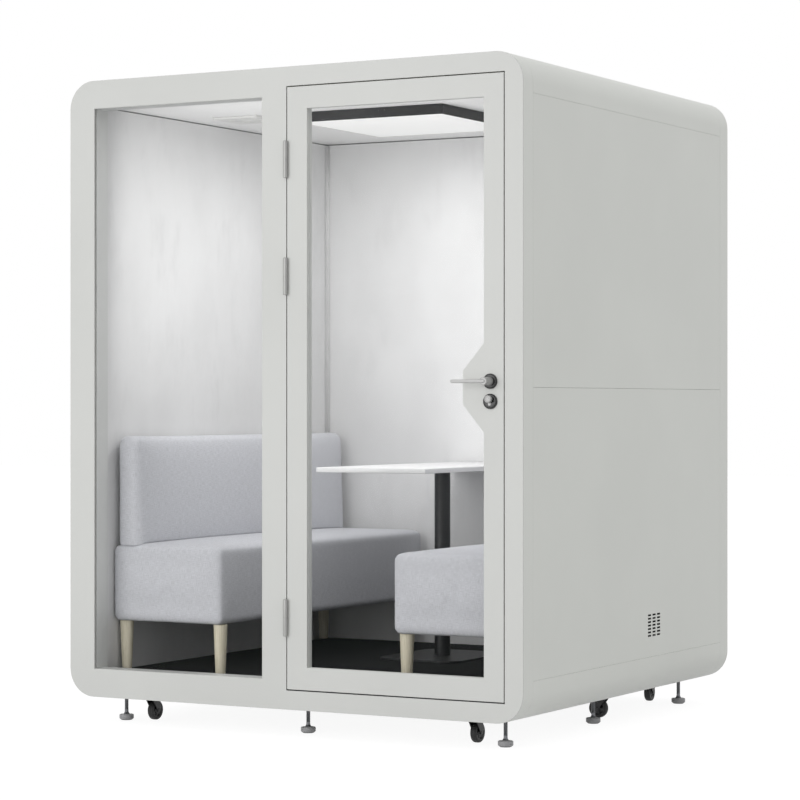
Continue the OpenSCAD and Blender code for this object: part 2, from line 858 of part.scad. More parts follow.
// Fan frame with its grille below, and the motor with its pin standing on the grille
module fan_frame() {
    slot_step = (2 * duct_r - 2 * grille_slot_w) / grille_slots;
    difference() {
        union() {
            translate([-grille_w / 2, -grille_w / 2, 0]) cube([grille_w, grille_w, grille_t - seat_gap]);
            translate([-fan_w / 2, -fan_w / 2, 0]) cube([fan_w, fan_w, fan_h]);
        }
        translate([0, 0, grille_t]) cylinder(r = duct_r, h = fan_h);
        difference() {
            for (i = [-(grille_slots - 1) / 2:(grille_slots - 1) / 2]) {
                reach = sqrt(pow(duct_r, 2) - pow(abs(i) * slot_step + grille_slot_w / 2, 2)) - 3;
                translate([-reach, i * slot_step - grille_slot_w / 2, -cut])
                    cube([2 * reach, grille_slot_w, grille_t + 2 * cut]);
            }
            cylinder(r = hub_r + 1, h = 3 * grille_t, center = true);
        }
    }
    translate([0, 0, grille_t - cut]) {
        cylinder(r = hub_r - 3, h = rotor_z - grille_t + cut - seat_gap);
        cylinder(r = fan_pin_r, h = fan_h - grille_t);
    }
}

// Rotor with pitched blades and a bored hub
module fan_rotor() {
    translate([0, 0, rotor_z]) difference() {
        union() {
            cylinder(r = hub_r, h = rotor_h);
            intersection() {
                for (i = [0:blades - 1])
                    rotate([0, 0, i * 360 / blades]) translate([0, 0, rotor_h / 2])
                        rotate([blade_pitch, 0, 0])
                            translate([hub_r - cut, -rotor_h / 2, -cut])
                                cube([rotor_r, rotor_h, 2 * cut]);
                cylinder(r = rotor_r, h = rotor_h);
            }
        }
        translate([0, 0, -cut]) cylinder(r = fan_pin_r + run_gap, h = rotor_h + 2 * cut);
    }
}

module fan_frames() {
    color(board) at_body()
        for (x = [fan_x, body_w - fan_x]) translate([x, fan_y, fan_z]) fan_frame();
}

module fan_rotor_left() {
    color(dark) at_body() translate([fan_x, fan_y, fan_z]) fan_rotor();
}

module fan_rotor_right() {
    color(dark) at_body() translate([body_w - fan_x, fan_y, fan_z]) fan_rotor();
}

// Points round a rectangle with round corners, w by l, centred, drawn in by inset
function round_loop(w, l, r, inset) = [
    for (c = [0:3], k = [0:soft_fn])
        let (
            sx = (c == 0 || c == 3) ? 1 : -1,
            sy = c < 2 ? 1 : -1,
            a = 90 * (c + k / soft_fn),
            rr = max(r - inset, 1)
        )
            [sx * (w / 2 - inset - rr) + rr * cos(a), sy * (l / 2 - inset - rr) + rr * sin(a)]
];

// Levels of a cushion from its underside up: how far each is drawn in, and its height
function cushion_levels(h, r) = concat(
    [for (k = [0:3]) [r * (1 - sin(k * 30)), r * (1 - cos(k * 30))]],
    [for (k = [1:3]) [draw_in * sin(k * 45), r + (h - 2 * r) * k / 4]],
    [for (k = [0:3]) [r * (1 - cos(k * 30)), h - r + r * sin(k * 30)]]
);

// Upholstered block: soft edges, sides that draw in and a crowned top, flat underneath.
// With a slope it grows thicker along X by that share of its thickness for each millimetre.
module cushion(w, l, h, crown, r, slope = 0) {
    levels = cushion_levels(h, r);
    n = 4 * (soft_fn + 1);
    rings = len(levels);
    crown_steps = 4;
    last = levels[rings - 1][0];
    top_loop = round_loop(w, l, r, last);
    points = concat(
        [for (v = levels, p = round_loop(w, l, r, v[0])) [p[0], p[1], v[1] * (1 + slope * p[0])]],
        [for (s = [1:crown_steps - 1], p = top_loop)
            let (k = 1 - s / crown_steps)
                [p[0] * k, p[1] * k, (h + crown * (1 - k * k)) * (1 + slope * p[0] * k)]],
        [[0, 0, h + crown], [0, 0, 0]]
    );
    total = rings + crown_steps - 1;
    top_point = total * n;
    faces = concat(
        [for (i = [0:total - 2], k = [0:n - 1])
            [i * n + k, i * n + (k + 1) % n, (i + 1) * n + (k + 1) % n]],
        [for (i = [0:total - 2], k = [0:n - 1])
            [i * n + k, (i + 1) * n + (k + 1) % n, (i + 1) * n + k]],
        [for (k = [0:n - 1]) [(total - 1) * n + k, (total - 1) * n + (k + 1) % n, top_point]],
        [for (k = [0:n - 1]) [(k + 1) % n, k, top_point + 1]]
    );
    polyhedron(points = points, faces = [for (f = faces) [f[2], f[1], f[0]]]);
}

// Seat of the left bench
module bench_seat() {
    translate([inner_l + bench_gap + seat_w / 2, bench_y + seat_l / 2, seat_z])
        cushion(seat_w, seat_l, seat_h, seat_crown, soft_r);
}

// Backrest of the left bench, with its crowned face towards the cabin and its thick edge down
module bench_back() {
    translate([inner_l + bench_gap + back_inset, bench_y + seat_l / 2, rest_z + back_h / 2])
        rotate([0, 90, 0])
            cushion(back_h, back_l, back_t, back_crown, soft_r, back_lean / (back_t * back_h));
}

module seat_left() {
    color(fabric) at_body() bench_seat();
}

module seat_right() {
    color(fabric) at_body() on_right() bench_seat();
}

module backrest_left() {
    color(fabric) at_body() bench_back();
}

module backrest_right() {
    color(fabric) at_body() on_right() bench_back();
}

// Tapered legs of the left bench
module bench_leg_set() {
    for (x = [leg_inset_x, seat_w - leg_inset_x], y = [leg_inset_y, seat_l - leg_inset_y])
        translate([inner_l + bench_gap + x, bench_y + y, floor_z])
            cylinder(r1 = leg_foot_r, r2 = leg_top_r, h = seat_up);
}

module bench_legs() {
    color(pale_wood) at_body() {
        bench_leg_set();
        on_right() bench_leg_set();
    }
}

module table_top() {
    color("white") at_body()
        span([mid_x - table_w / 2, table_y, table_z],
             [mid_x + table_w / 2, table_y + table_l, table_z + table_t]);
}

// Base plate, post and head plate, welded together; the post is open below for a cable
module table_stand() {
    color(dark) at_body() translate([mid_x, post_y, 0]) difference() {
        union() {
            translate([-foot_plate_w / 2, -foot_plate_l / 2, floor_z])
                linear_extrude(height = foot_plate_t) round_rect(foot_plate_w, foot_plate_l, foot_plate_r);
            translate([0, 0, floor_z]) cylinder(r = post_r, h = table_z - floor_z);
            translate([-head_plate_w / 2, -head_plate_w / 2, table_z - head_plate_t])
                cube([head_plate_w, head_plate_w, head_plate_t]);
        }
        translate([0, 0, floor_z - cut])
            cylinder(r = post_r - post_wall, h = table_z - head_plate_t - floor_z);
    }
}

// Glass opening of the door, notched by the widened lock stile, grown on all sides
module door_opening(grow = 0) {
    lean = atan2(lock_flare, flare_slope);
    step = grow * tan(lean / 2);
    x0 = opening_x0 - grow;
    x1 = opening_x1 + grow;
    z0 = opening_z0 - grow;
    z1 = opening_z1 + grow;
    polygon([
        [x0, z0], [x1, z0],
        [x1, flare_z - flare_flat / 2 - flare_slope + step],
        [x1 - lock_flare, flare_z - flare_flat / 2 + step],
        [x1 - lock_flare, flare_z + flare_flat / 2 - step],
        [x1, flare_z + flare_flat / 2 + flare_slope - step],
        [x1, z1], [x0, z1]
    ]);
}

module leaf_outline(inset) {
    opening(door_x, door_z, door_x + door_w, door_z + door_h, -inset);
}

// Outline of the lock cylinder in X and Z, round its own axis
module cylinder_outline(grow = 0) {
    circle(cyl_r + grow);
    tail_r = cyl_tail_w / 2 + grow;
    translate([-tail_r, tail_r - cyl_tail_h - grow]) square([2 * tail_r, cyl_tail_h + grow - tail_r]);
    translate([0, tail_r - cyl_tail_h - grow]) circle(tail_r);
}

// Hollow leaf frame with a rebate for the glass, and the bead that holds the glass from inside
module door_frame() {
    bead_y = glass_recess + glass_t + 2 * rubber_t;
    color(paint) at_body() {
        difference() {
            through_y(0, door_t) leaf_outline(0);
            through_y(-cut, door_t + cut) door_opening();
            through_y(glass_recess, door_t + cut) door_opening(glass_hold);
            through_y(door_skin, door_t - door_skin) difference() {
                leaf_outline(door_skin);
                door_opening(glass_hold + door_skin);
            }
            // Slot for the forend, holes for spindle and cylinder
            span([door_x + door_w - 2 * door_skin, bolt_y - case_t / 2, forend_z0 - seat_gap],
                 [door_x + door_w + cut, bolt_y + case_t / 2, forend_z1 + seat_gap]);
            through_y(-cut, door_t + cut) {
                translate([lock_x, lever_z]) circle(spindle_w);
                translate([lock_x, cyl_z]) cylinder_outline(seat_gap);
            }
        }
        through_y(bead_y, door_t) difference() {
            door_opening(glass_hold - seat_gap);
            door_opening(glass_hold - seat_gap - bead_w);
        }
    }
}

module door_glass() {
    color(pane) at_body()
        through_y(glass_recess + rubber_t, glass_recess + rubber_t + glass_t)
            door_opening(glass_hold - 2 * rubber_t);
}

// Channel of rubber around the door's pane; its rear leg follows the bead
module door_gasket() {
    pane_y = glass_recess + rubber_t;
    color(rubber) at_body() difference() {
        through_y(glass_recess, pane_y + glass_t + rubber_t) door_opening(glass_hold - rubber_t);
        through_y(0, pane_y + rubber_t) door_opening(-rubber_show);
        through_y(pane_y, pane_y + glass_t) door_opening(glass_hold - 2 * rubber_t);
        through_y(pane_y + rubber_t, door_t) door_opening(glass_hold - bead_w - 2 * rubber_t);
    }
}

module door_hardware() {
    color(steel) at_body() for (z = hinge_z) door_hinge(z);
}

// Lock case with its forend, and the cylinder that passes through it
module mortise_lock() {
    edge = door_x + door_w;
    hub_gap = spindle_w * 0.75 + seat_gap;
    color(steel) at_body() {
        difference() {
            union() {
                span([edge - forend_t, bolt_y - case_t / 2 + seat_gap, forend_z0],
                     [edge, bolt_y + case_t / 2 - seat_gap, forend_z1]);
                span([edge - forend_t - case_d, bolt_y - case_t / 2 + seat_gap, case_z],
                     [edge - forend_t, bolt_y + case_t / 2 - seat_gap, case_z + case_h]);
            }
            bolt_bar(edge + cut, latch_z, latch_h, seat_gap, bolt_l + 8);
            bolt_bar(edge + cut, dead_z, dead_h, seat_gap, bolt_l + 8);
            through_y(0, door_t) {
                translate([lock_x, lever_z]) circle(hub_gap);
                translate([lock_x, cyl_z]) cylinder_outline(seat_gap);
            }
        }
        difference() {
            through_y(-rosette_t - cut, door_t + rosette_t + cut)
                translate([lock_x, cyl_z]) cylinder_outline();
            through_y(-2 * rosette_t, door_t + 2 * rosette_t)
                translate([lock_x, cyl_z]) circle(knob_rod_r + run_gap);
        }
    }
}

// Pair of rosettes between two depths, bored for the lever's neck and for the cylinder
module rosette_pair(y0, y1) {
    through_y(y0, y1) {
        difference() {
            translate([lock_x, lever_z]) circle(rosette_r);
            translate([lock_x, lever_z]) circle(neck_r + run_gap);
        }
        difference() {
            translate([lock_x, rosette_z]) circle(rosette_r);
            translate([lock_x, cyl_z]) cylinder_outline(seat_gap);
        }
    }
}

module door_rosettes() {
    color(dark) at_body() {
        rosette_pair(-rosette_t, 0);
        rosette_pair(door_t, door_t + rosette_t);
    }
}

// One lever with its neck, drawn for the outside, with Y = 0 on the door's face
module lever_arm() {
    bar_y = -lever_out;
    through_y(-lever_out + lever_t / 4, -seat_gap) circle(neck_r);
    through_y(bar_y, bar_y + lever_t) {
        translate([-lever_l + lever_h / 2, -lever_h / 2]) square([lever_l - lever_h / 2, lever_h]);
        translate([-lever_l + lever_h / 2, 0]) circle(lever_h / 2);
        circle(lever_h / 2);
    }
}

module door_lever() {
    color(steel) at_body() translate([lock_x, 0, lever_z]) {
        lever_arm();
        translate([0, door_t, 0]) mirror([0, 1, 0]) lever_arm();
        // Square spindle, let into both necks
        span([-spindle_w / 2, -lever_out / 2, -spindle_w / 2],
             [spindle_w / 2, door_t + lever_out / 2, spindle_w / 2]);
    }
}

module latch_bolt() {
    color(steel) at_body() bolt_bar(door_x + door_w + latch_out, latch_z, latch_h);
}

module dead_bolt() {
    color(steel) at_body() bolt_bar(door_x + door_w - dead_in, dead_z, dead_h);
}

// Turn knob on each side, joined by the rod through the cylinder
module thumb_turn() {
    knob_y = rosette_t + 2 * cut;
    color(steel) at_body() translate([lock_x, 0, cyl_z]) {
        through_y(-knob_y - knob_l, -knob_y) circle(knob_r);
        through_y(door_t + knob_y, door_t + knob_y + knob_l) circle(knob_r);
        through_y(-knob_y - cut, door_t + knob_y + cut) circle(knob_rod_r);
    }
}

// Swivel fork of a caster: stem, head, two cheeks and the axle, with the wheel behind along +X
module caster_fork() {
    inner = wheel_w / 2 + cheek_gap;
    translate([0, 0, -head_h - cut]) cylinder(r = head_r, h = head_h);
    translate([0, 0, -head_h]) cylinder(r = stem_r, h = stem_in + head_h);
    for (y = [-inner - cheek_t, inner])
        through_y(y, y + cheek_t) {
            polygon([
                [-head_r * 0.7, -head_h], [head_r * 0.9, -head_h],
                [trail + wheel_r * 0.5, wheel_z + wheel_r * 0.4], [trail + axle_r * 2, wheel_z],
                [trail - axle_r * 2, wheel_z]
            ]);
            translate([trail, wheel_z]) circle(axle_r * 2);
        }
    // Bridge between the cheeks, under the head and over the wheel
    span([-head_r * 0.7, -inner - cheek_t, -head_h - cheek_t], [head_r * 0.9, inner + cheek_t, -head_h]);
    translate([trail, 0, wheel_z]) rotate([90, 0, 0])
        cylinder(r = axle_r, h = 2 * (inner + cheek_t), center = true);
}

// Wheel with rounded tread and a hollowed side round its hub
module caster_wheel() {
    edge_r = 5;
    rim = wheel_r * 0.72;
    hollow = 4;
    translate([trail, 0, wheel_z]) rotate([90, 0, 0]) rotate_extrude()
        polygon(concat(
            [[axle_r + run_gap, wheel_w / 2], [axle_r + run_gap, -wheel_w / 2], [axle_r * 2.5, -wheel_w / 2],
             [axle_r * 2.5, -wheel_w / 2 + hollow], [rim, -wheel_w / 2 + hollow], [rim, -wheel_w / 2]],
            [for (a = [-90:30:0]) [wheel_r - edge_r + edge_r * cos(a), -wheel_w / 2 + edge_r + edge_r * sin(a)]],
            [for (a = [0:30:90]) [wheel_r - edge_r + edge_r * cos(a), wheel_w / 2 - edge_r + edge_r * sin(a)]],
            [[rim, wheel_w / 2], [rim, wheel_w / 2 - hollow], [axle_r * 2.5, wheel_w / 2 - hollow],
             [axle_r * 2.5, wheel_w / 2]]
        ));
}

module fork_at(i) {
    color(dark) at_body() translate([caster_places[i][0], caster_places[i][1], 0])
        rotate([0, 0, caster_places[i][2]]) caster_fork();
}

module wheel_at(i) {
    color(rubber) at_body() translate([caster_places[i][0], caster_places[i][1], 0])
        rotate([0, 0, caster_places[i][2]]) caster_wheel();
}

// Levelling foot: pad with a bevelled rim, cone and threaded stem
module foot_at(i) {
    bevel = 5;
    color(steel) at_body() translate([foot_places[i][0], foot_places[i][1], -foot_h])
        rotate_extrude() polygon([
            [0, 0], [pad_r - bevel, 0], [pad_r, bevel], [pad_r, pad_h - 2], [pad_r - 2, pad_h],
            [cone_r, pad_h], [stem_r, pad_h + cone_h], [stem_r, foot_h + stem_in], [0, foot_h + stem_in]
        ]);
}

module fork_front_left() { fork_at(0); }
module fork_front_right() { fork_at(1); }
module fork_rear_left() { fork_at(2); }
module fork_rear_right() { fork_at(3); }
module fork_mid_left() { fork_at(4); }
module fork_mid_right() { fork_at(5); }
module wheel_front_left() { wheel_at(0); }
module wheel_front_right() { wheel_at(1); }
module wheel_rear_left() { wheel_at(2); }
module wheel_rear_right() { wheel_at(3); }
module wheel_mid_left() { wheel_at(4); }
module wheel_mid_right() { wheel_at(5); }
module foot_front_left() { foot_at(0); }
module foot_front_mid() { foot_at(1); }
module foot_front_right() { foot_at(2); }
module foot_mid_left() { foot_at(3); }
module foot_mid_right() { foot_at(4); }
module foot_rear_left() { foot_at(5); }
module foot_rear_mid() { foot_at(6); }
module foot_rear_right() { foot_at(7); }

base_frame();
base_shell();
roof_shell();
front_frame();
rear_frame();
side_panels_left();
side_panels_right();
back_panels();
panel_cores();
front_liner();
wall_liners();
ceiling_panel();
corner_profiles();
carpet();
window_glass();
window_gasket();
frame_hardware();
door_seal();
lamp_housing();
lamp_diffuser();
fan_frames();
seat_left();
seat_right();
backrest_left();
backrest_right();
bench_legs();
table_top();
table_stand();
door_frame();
door_glass();
door_gasket();
door_hardware();
mortise_lock();
door_rosettes();
door_lever();
latch_bolt();
dead_bolt();
thumb_turn();
fan_rotor_left();
fan_rotor_right();
fork_front_left();
fork_front_right();
fork_rear_left();
fork_rear_right();
fork_mid_left();
fork_mid_right();
wheel_front_left();
wheel_front_right();
wheel_rear_left();
wheel_rear_right();
wheel_mid_left();
wheel_mid_right();
foot_front_left();
foot_front_mid();
foot_front_right();
foot_mid_left();
foot_mid_right();
foot_rear_left();
foot_rear_mid();
foot_rear_right();
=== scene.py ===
"""Glazed acoustic booth: its looks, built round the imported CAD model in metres."""
import math

import bmesh
import bpy
import numpy as np
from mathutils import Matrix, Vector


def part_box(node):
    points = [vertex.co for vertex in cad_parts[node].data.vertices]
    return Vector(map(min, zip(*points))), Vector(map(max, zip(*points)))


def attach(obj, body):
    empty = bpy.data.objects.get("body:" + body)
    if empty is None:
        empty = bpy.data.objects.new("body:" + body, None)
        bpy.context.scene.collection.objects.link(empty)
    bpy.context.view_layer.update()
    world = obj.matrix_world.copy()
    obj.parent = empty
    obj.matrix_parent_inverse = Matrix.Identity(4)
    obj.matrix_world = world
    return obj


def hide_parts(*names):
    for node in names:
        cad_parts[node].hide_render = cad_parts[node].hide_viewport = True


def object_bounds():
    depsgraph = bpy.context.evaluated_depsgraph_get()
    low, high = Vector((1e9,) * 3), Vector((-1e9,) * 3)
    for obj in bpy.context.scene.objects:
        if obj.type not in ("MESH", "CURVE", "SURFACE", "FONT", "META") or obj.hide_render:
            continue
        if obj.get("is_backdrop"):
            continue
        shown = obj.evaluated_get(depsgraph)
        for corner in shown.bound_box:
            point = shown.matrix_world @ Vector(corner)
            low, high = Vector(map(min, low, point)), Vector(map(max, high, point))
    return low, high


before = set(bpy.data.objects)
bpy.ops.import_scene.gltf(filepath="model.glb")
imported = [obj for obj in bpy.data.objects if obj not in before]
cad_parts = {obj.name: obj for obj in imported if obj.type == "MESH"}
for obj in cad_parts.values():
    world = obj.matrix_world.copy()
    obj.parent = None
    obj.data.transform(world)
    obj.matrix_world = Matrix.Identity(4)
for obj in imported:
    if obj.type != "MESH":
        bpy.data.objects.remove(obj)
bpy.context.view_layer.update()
scene = bpy.context.scene

# Camera
# A long lens at eye height of a seated person, right of the booth, level,
# so that all upright edges stay upright.
camera = bpy.data.objects.new("camera", bpy.data.cameras.new("camera"))
camera.location = (4.7142, -8.4503, 1.1389)
camera.rotation_euler = (math.radians(90), 0, math.radians(29.287))
camera.data.lens = 117.57
camera.data.sensor_width = 36
camera.data.shift_y = 0.0056
scene.collection.objects.link(camera)
scene.camera = camera
scene.view_settings.view_transform = "Standard"


# Studio
# Seamless pale floor under an even white sky, with one broad soft lamp in
# front, a dim one behind the glazing that evens out the walls, and a flat
# light panel under the booth's own ceiling lamp.
class Signal:
    """A value or vector that varies over a surface. Arithmetic on it adds Math nodes, or Vector Math
    nodes for a vector."""

    def __init__(self, finish, socket):
        self.finish, self.socket = finish, socket

    def reckon(self, operation, *terms):
        kind = "ShaderNodeVectorMath" if self.socket.type == "VECTOR" else "ShaderNodeMath"
        return self.finish.add(kind, {"operation": operation}, dict(enumerate(terms)))

    def __add__(self, other):
        return self.reckon("ADD", self, other)

    def __sub__(self, other):
        return self.reckon("SUBTRACT", self, other)

    def __rsub__(self, other):
        return self.reckon("SUBTRACT", other, self)

    def __mul__(self, other):
        return self.reckon("MULTIPLY", self, other)

    __radd__, __rmul__ = __add__, __mul__


class Finish:
    """The nodes of one finish. add() makes a node, sets it up, feeds its sockets and returns one
    output."""

    def __init__(self, name, owner=None):
        self.material = owner or bpy.data.materials.new(name)
        self.material.use_nodes = True
        self.tree = self.material.node_tree
        self.place = None

    def add(self, kind, settings=None, sockets=None, output=0):
        node = self.tree.nodes.new(kind)
        for key, value in (settings or {}).items():
            setattr(node, key, value)
        for key, value in (sockets or {}).items():
            self.feed(node.inputs[key], value)
        return Signal(self, node.outputs[output])

    def feed(self, socket, value):
        if isinstance(value, Signal):
            self.tree.links.new(value.socket, socket)
        elif socket.type == "VECTOR" and isinstance(value, (int, float)):
            socket.default_value = (value, value, value)
        else:
            socket.default_value = value

    def where(self, stretch=(1, 1, 1), source="Object"):
        """The point on the piece, squeezed so that a pattern is stretched along each axis."""
        point = self.add("ShaderNodeTexCoord", output=source)
        return self.add("ShaderNodeMapping", {}, {"Vector": point, "Scale": [1 / s for s in stretch]})

    def noise(self, size, detail=2, stretch=(1, 1, 1), rough=0.5, source="Object"):
        """Smooth noise with features of about size metres."""
        return self.add("ShaderNodeTexNoise", {}, {
            "Vector": self.where(stretch, source), "Scale": 1 / size, "Detail": detail, "Roughness": rough})

    def ramp(self, value, low, high):
        """0 below low, 1 above high, smooth between."""
        return self.add("ShaderNodeMapRange", {"interpolation_type": "SMOOTHSTEP"},
                        {"Value": value, "From Min": low, "From Max": high})

    def mix(self, share, first, second):
        """The first colour where the share is 0, the second where it is 1."""
        return self.add("ShaderNodeMix", {"data_type": "RGBA"}, {0: share, 6: first, 7: second}, 2)

    def bump(self, height, depth, strength):
        """Relief of depth metres."""
        return self.add("ShaderNodeBump", {}, {"Height": height, "Distance": depth, "Strength": strength})

    def coat(self, **sockets):
        """Sets the shader's own sockets: base_color stands for Base Color."""
        shader = self.tree.nodes["Principled BSDF"]
        for key, value in sockets.items():
            self.feed(shader.inputs[key.replace("_", " ").title().replace("Ior", "IOR")], value)
        return self.material


def tone(*levels):
    """Linear colour of a chip whose red, green and blue are read as levels from 0 to 255."""
    share = np.array(levels) / 255
    linear = np.where(share <= 0.04045, share / 12.92, ((share + 0.055) / 1.055) ** 2.4)
    return (*linear.tolist(), 1.0)


def box_of(node):
    """The low and the high corner of a node's box."""
    low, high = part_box(node)
    return np.array(low), np.array(high)


def surface(points, around=False):
    """Quads between neighbouring points of a grid of rows and columns. Around joins the last column to
    the first."""
    rows, columns = points.shape[:2]
    i = np.arange(rows - 1)[:, None] * columns
    j = np.arange(columns if around else columns - 1)[None, :]
    k = (j + 1) % columns
    quads = np.stack([i + j, i + k, i + columns + k, i + columns + j], -1)
    return points.reshape(-1, 3), quads.reshape(-1, 4)


def shown(name, mesh, finishes, crease):
    """An object of the mesh in its finishes, smooth but for edges sharper than the crease."""
    for finish in finishes:
        mesh.materials.append(finish)
    mesh.polygons.foreach_set("use_smooth", np.ones(len(mesh.polygons), bool))
    mesh.set_sharp_from_angle(angle=math.radians(crease))
    piece = bpy.data.objects.new(name, mesh)
    scene.collection.objects.link(piece)
    return piece


def build(name, shells, finishes, crease=32):
    """One mesh object of several shells. Each shell is points, quads and the number of its finish.
    The doubled points of seams and poles are merged, then all faces are turned outwards."""
    mesh = bpy.data.meshes.new(name)
    points = np.concatenate([s[0] for s in shells])
    starts = np.cumsum([0] + [len(s[0]) for s in shells[:-1]])
    quads = np.concatenate([s[1] + start for s, start in zip(shells, starts)])
    numbers = np.concatenate([np.full(len(s[1]), s[2] if len(s) > 2 else 0) for s in shells])
    mesh.from_pydata(points.tolist(), [], quads.tolist())
    mesh.polygons.foreach_set("material_index", numbers.astype(np.int32))
    tidy = bmesh.new()
    tidy.from_mesh(mesh)
    bmesh.ops.remove_doubles(tidy, verts=tidy.verts, dist=2e-6)
    bmesh.ops.dissolve_degenerate(tidy, edges=tidy.edges, dist=1e-7)
    bmesh.ops.recalc_face_normals(tidy, faces=tidy.faces)
    tidy.to_mesh(mesh)
    tidy.free()
    return shown(name, mesh, finishes, crease)


ground = Finish("studio_floor")
seen = ground.add("ShaderNodeLightPath", output="Is Camera Ray") + ground.add(
    "ShaderNodeLightPath", output="Is Glossy Ray")
white = ground.add("ShaderNodeEmission", {}, {"Color": (1, 1, 1, 1), "Strength": 1.27})
matt = ground.add("ShaderNodeBsdfDiffuse", {}, {"Color": tone(205, 205, 205)})
ground.feed(ground.tree.nodes["Material Output"].inputs["Surface"],
            ground.add("ShaderNodeMixShader", {}, {0: seen * 0.72, 1: matt, 2: white}))
far = 30.0
corners = np.array([[[-far, -far, 0], [far, -far, 0]], [[-far, far, 0], [far, far, 0]]])
floor = build("studio_floor", [surface(corners)], [ground.material])
floor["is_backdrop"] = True

sky = Finish("sky", bpy.data.worlds.new("sky"))
scene.world = sky.material
rays = [sky.add("ShaderNodeLightPath", output=ray) for ray in
        ("Is Camera Ray", "Is Glossy Ray", "Is Transmission Ray")]
plain = sky.ramp(rays[0] + rays[1] + rays[2], 0.0, 1.0)
sky.feed(sky.tree.nodes["Background"].inputs["Strength"], plain * 0.23 + 0.77)
sky.feed(sky.tree.nodes["Background"].inputs["Color"], (1, 1, 1, 1))


def soft_lamp(name, width, height, power, location, target):
    """A flat area lamp that points from its location at a target and isn't seen itself."""
    lamp = bpy.data.objects.new(name, bpy.data.lights.new(name, "AREA"))
    lamp.data.shape, lamp.data.energy = "RECTANGLE", power
    lamp.data.size, lamp.data.size_y = width, height
    lamp.location = location
    aim = np.array(target, float) - np.array(location, float)
    lamp.rotation_euler = (math.atan2(math.hypot(aim[0], aim[1]), -aim[2]), 0,
                           math.atan2(aim[0], -aim[1]) + math.pi)
    lamp.visible_camera = False
    scene.collection.objects.link(lamp)


soft_lamp("front_lamp", 5.0, 5.0, 225, (-2.0, -8.5, 2.2), (0, 0, 1.2))
soft_lamp("wall_lamp", 1.3, 0.9, 4.9, (-0.02, -0.745, 1.65), (-0.02, 1.0, 1.65))
opal_low, opal_high = box_of("lamp_diffuser")
opal_x, opal_y = ((opal_low + opal_high) / 2)[:2]
soft_lamp("cabin_light", 0.56, 0.56, 7.0, (opal_x, opal_y, opal_low[2] - 0.004), (opal_x, opal_y, 0))


# Underframe
# Rectangular steel tubes welded into a ladder, with a boss at every foot and
# caster, powder coated black. It lies inside the bottom wrap.
body_corner = np.array([-908, -846, 95])


def at(x, y, z):
    """A point of the body, in millimetres from its left front lower corner, in the part's frame."""
    return (np.array([x, y, z]) + body_corner) / 1000


def shades(colour, *shares):
    """The colour times each share."""
    return [tuple(min(1, c * share) for c in colour[:3]) + (1,) for share in shares]


def powder(name, colour, rough, spread=0.02, grain=0.0016, relief=0.00006, shaded_sill=None, inward=None):
    """Baked powder coat: broad uneven clouds in the colour, and the fine orange peel of the film in
    relief and gloss. A shaded sill is a point: what lies level with it, behind it and nearer to the
    middle is painted near black, painted shade for the dark of the door's gap, and the returns of the
    sheet behind it have the inward colour."""
    film = Finish(name)
    cloud = film.noise(0.55, 3)
    peel = film.noise(grain, 2)

    def clouded(shade):
        return film.mix(film.ramp(cloud, 0.3, 0.7), *shades(shade, 1 - spread, 1 + spread))

    film_tone = clouded(colour)
    if shaded_sill is not None:
        x, y, z = [film.add("ShaderNodeSeparateXYZ", {}, {0: film.where()}, k) for k in range(3)]
        across, face, height = shaded_sill
        film_tone = film.mix(film.ramp(y, face + 0.001, face + 0.005), film_tone, clouded(inward))
        above = film.ramp(z, height - 0.005, height - 0.004)
        below = 1 - film.ramp(z, height + 0.002, height + 0.003)
        behind = film.ramp(y, face, face + 0.0006)
        nearer = 1 - film.ramp(x * x, across ** 2 - 0.004, across ** 2)
        # Painted shade: the sill inside the door's gap is painted near black, standing in for the gap's
        # shadow.
        film_tone = film.mix(above * below * (behind * nearer), film_tone, tone(14, 14, 15))
    return film.coat(base_color=film_tone,
                     roughness=peel * 0.1 + cloud * 0.06 + (rough - 0.08),
                     normal=film.bump(peel, relief, 0.6))


def dressed(node, name, finishes, ease, segments=2, keep=None):
    """A copy of a node's own mesh: its loose triangles are merged into flat faces and its edges eased
    by a fine bevel. keep chooses by position the points that stay."""
    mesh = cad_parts[node].data.copy()
    mesh.name = name
    for layer in [a for a in mesh.attributes if a.name == "custom_normal"]:
        mesh.attributes.remove(layer)
    tidy = bmesh.new()
    tidy.from_mesh(mesh)
    bmesh.ops.remove_doubles(tidy, verts=tidy.verts, dist=2e-6)
    if keep:
        bmesh.ops.delete(tidy, geom=[v for v in tidy.verts if not keep(v.co)], context="VERTS")
    bmesh.ops.dissolve_limit(tidy, angle_limit=math.radians(0.4), verts=tidy.verts, edges=tidy.edges)
    tidy.to_mesh(mesh)
    tidy.free()
    mesh.materials.clear()
    crease = 30
    piece = shown(name, mesh, finishes, crease)
    bevel = piece.modifiers.new("eased_edges", "BEVEL")
    bevel.width, bevel.segments, bevel.limit_method = ease, segments, "ANGLE"
    bevel.angle_limit, bevel.use_clamp_overlap = math.radians(crease), False
    bevel.harden_normals = True
    return piece


def paint_node(node, finish):
    """Gives a node that stays as it is a better finish."""
    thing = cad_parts[node]
    thing.data.materials.clear()
    thing.data.materials.append(finish)


black_coat = powder("black_powder_coat", tone(25, 25, 27), 0.42, 0.06)
paint_node("base_frame", black_coat)
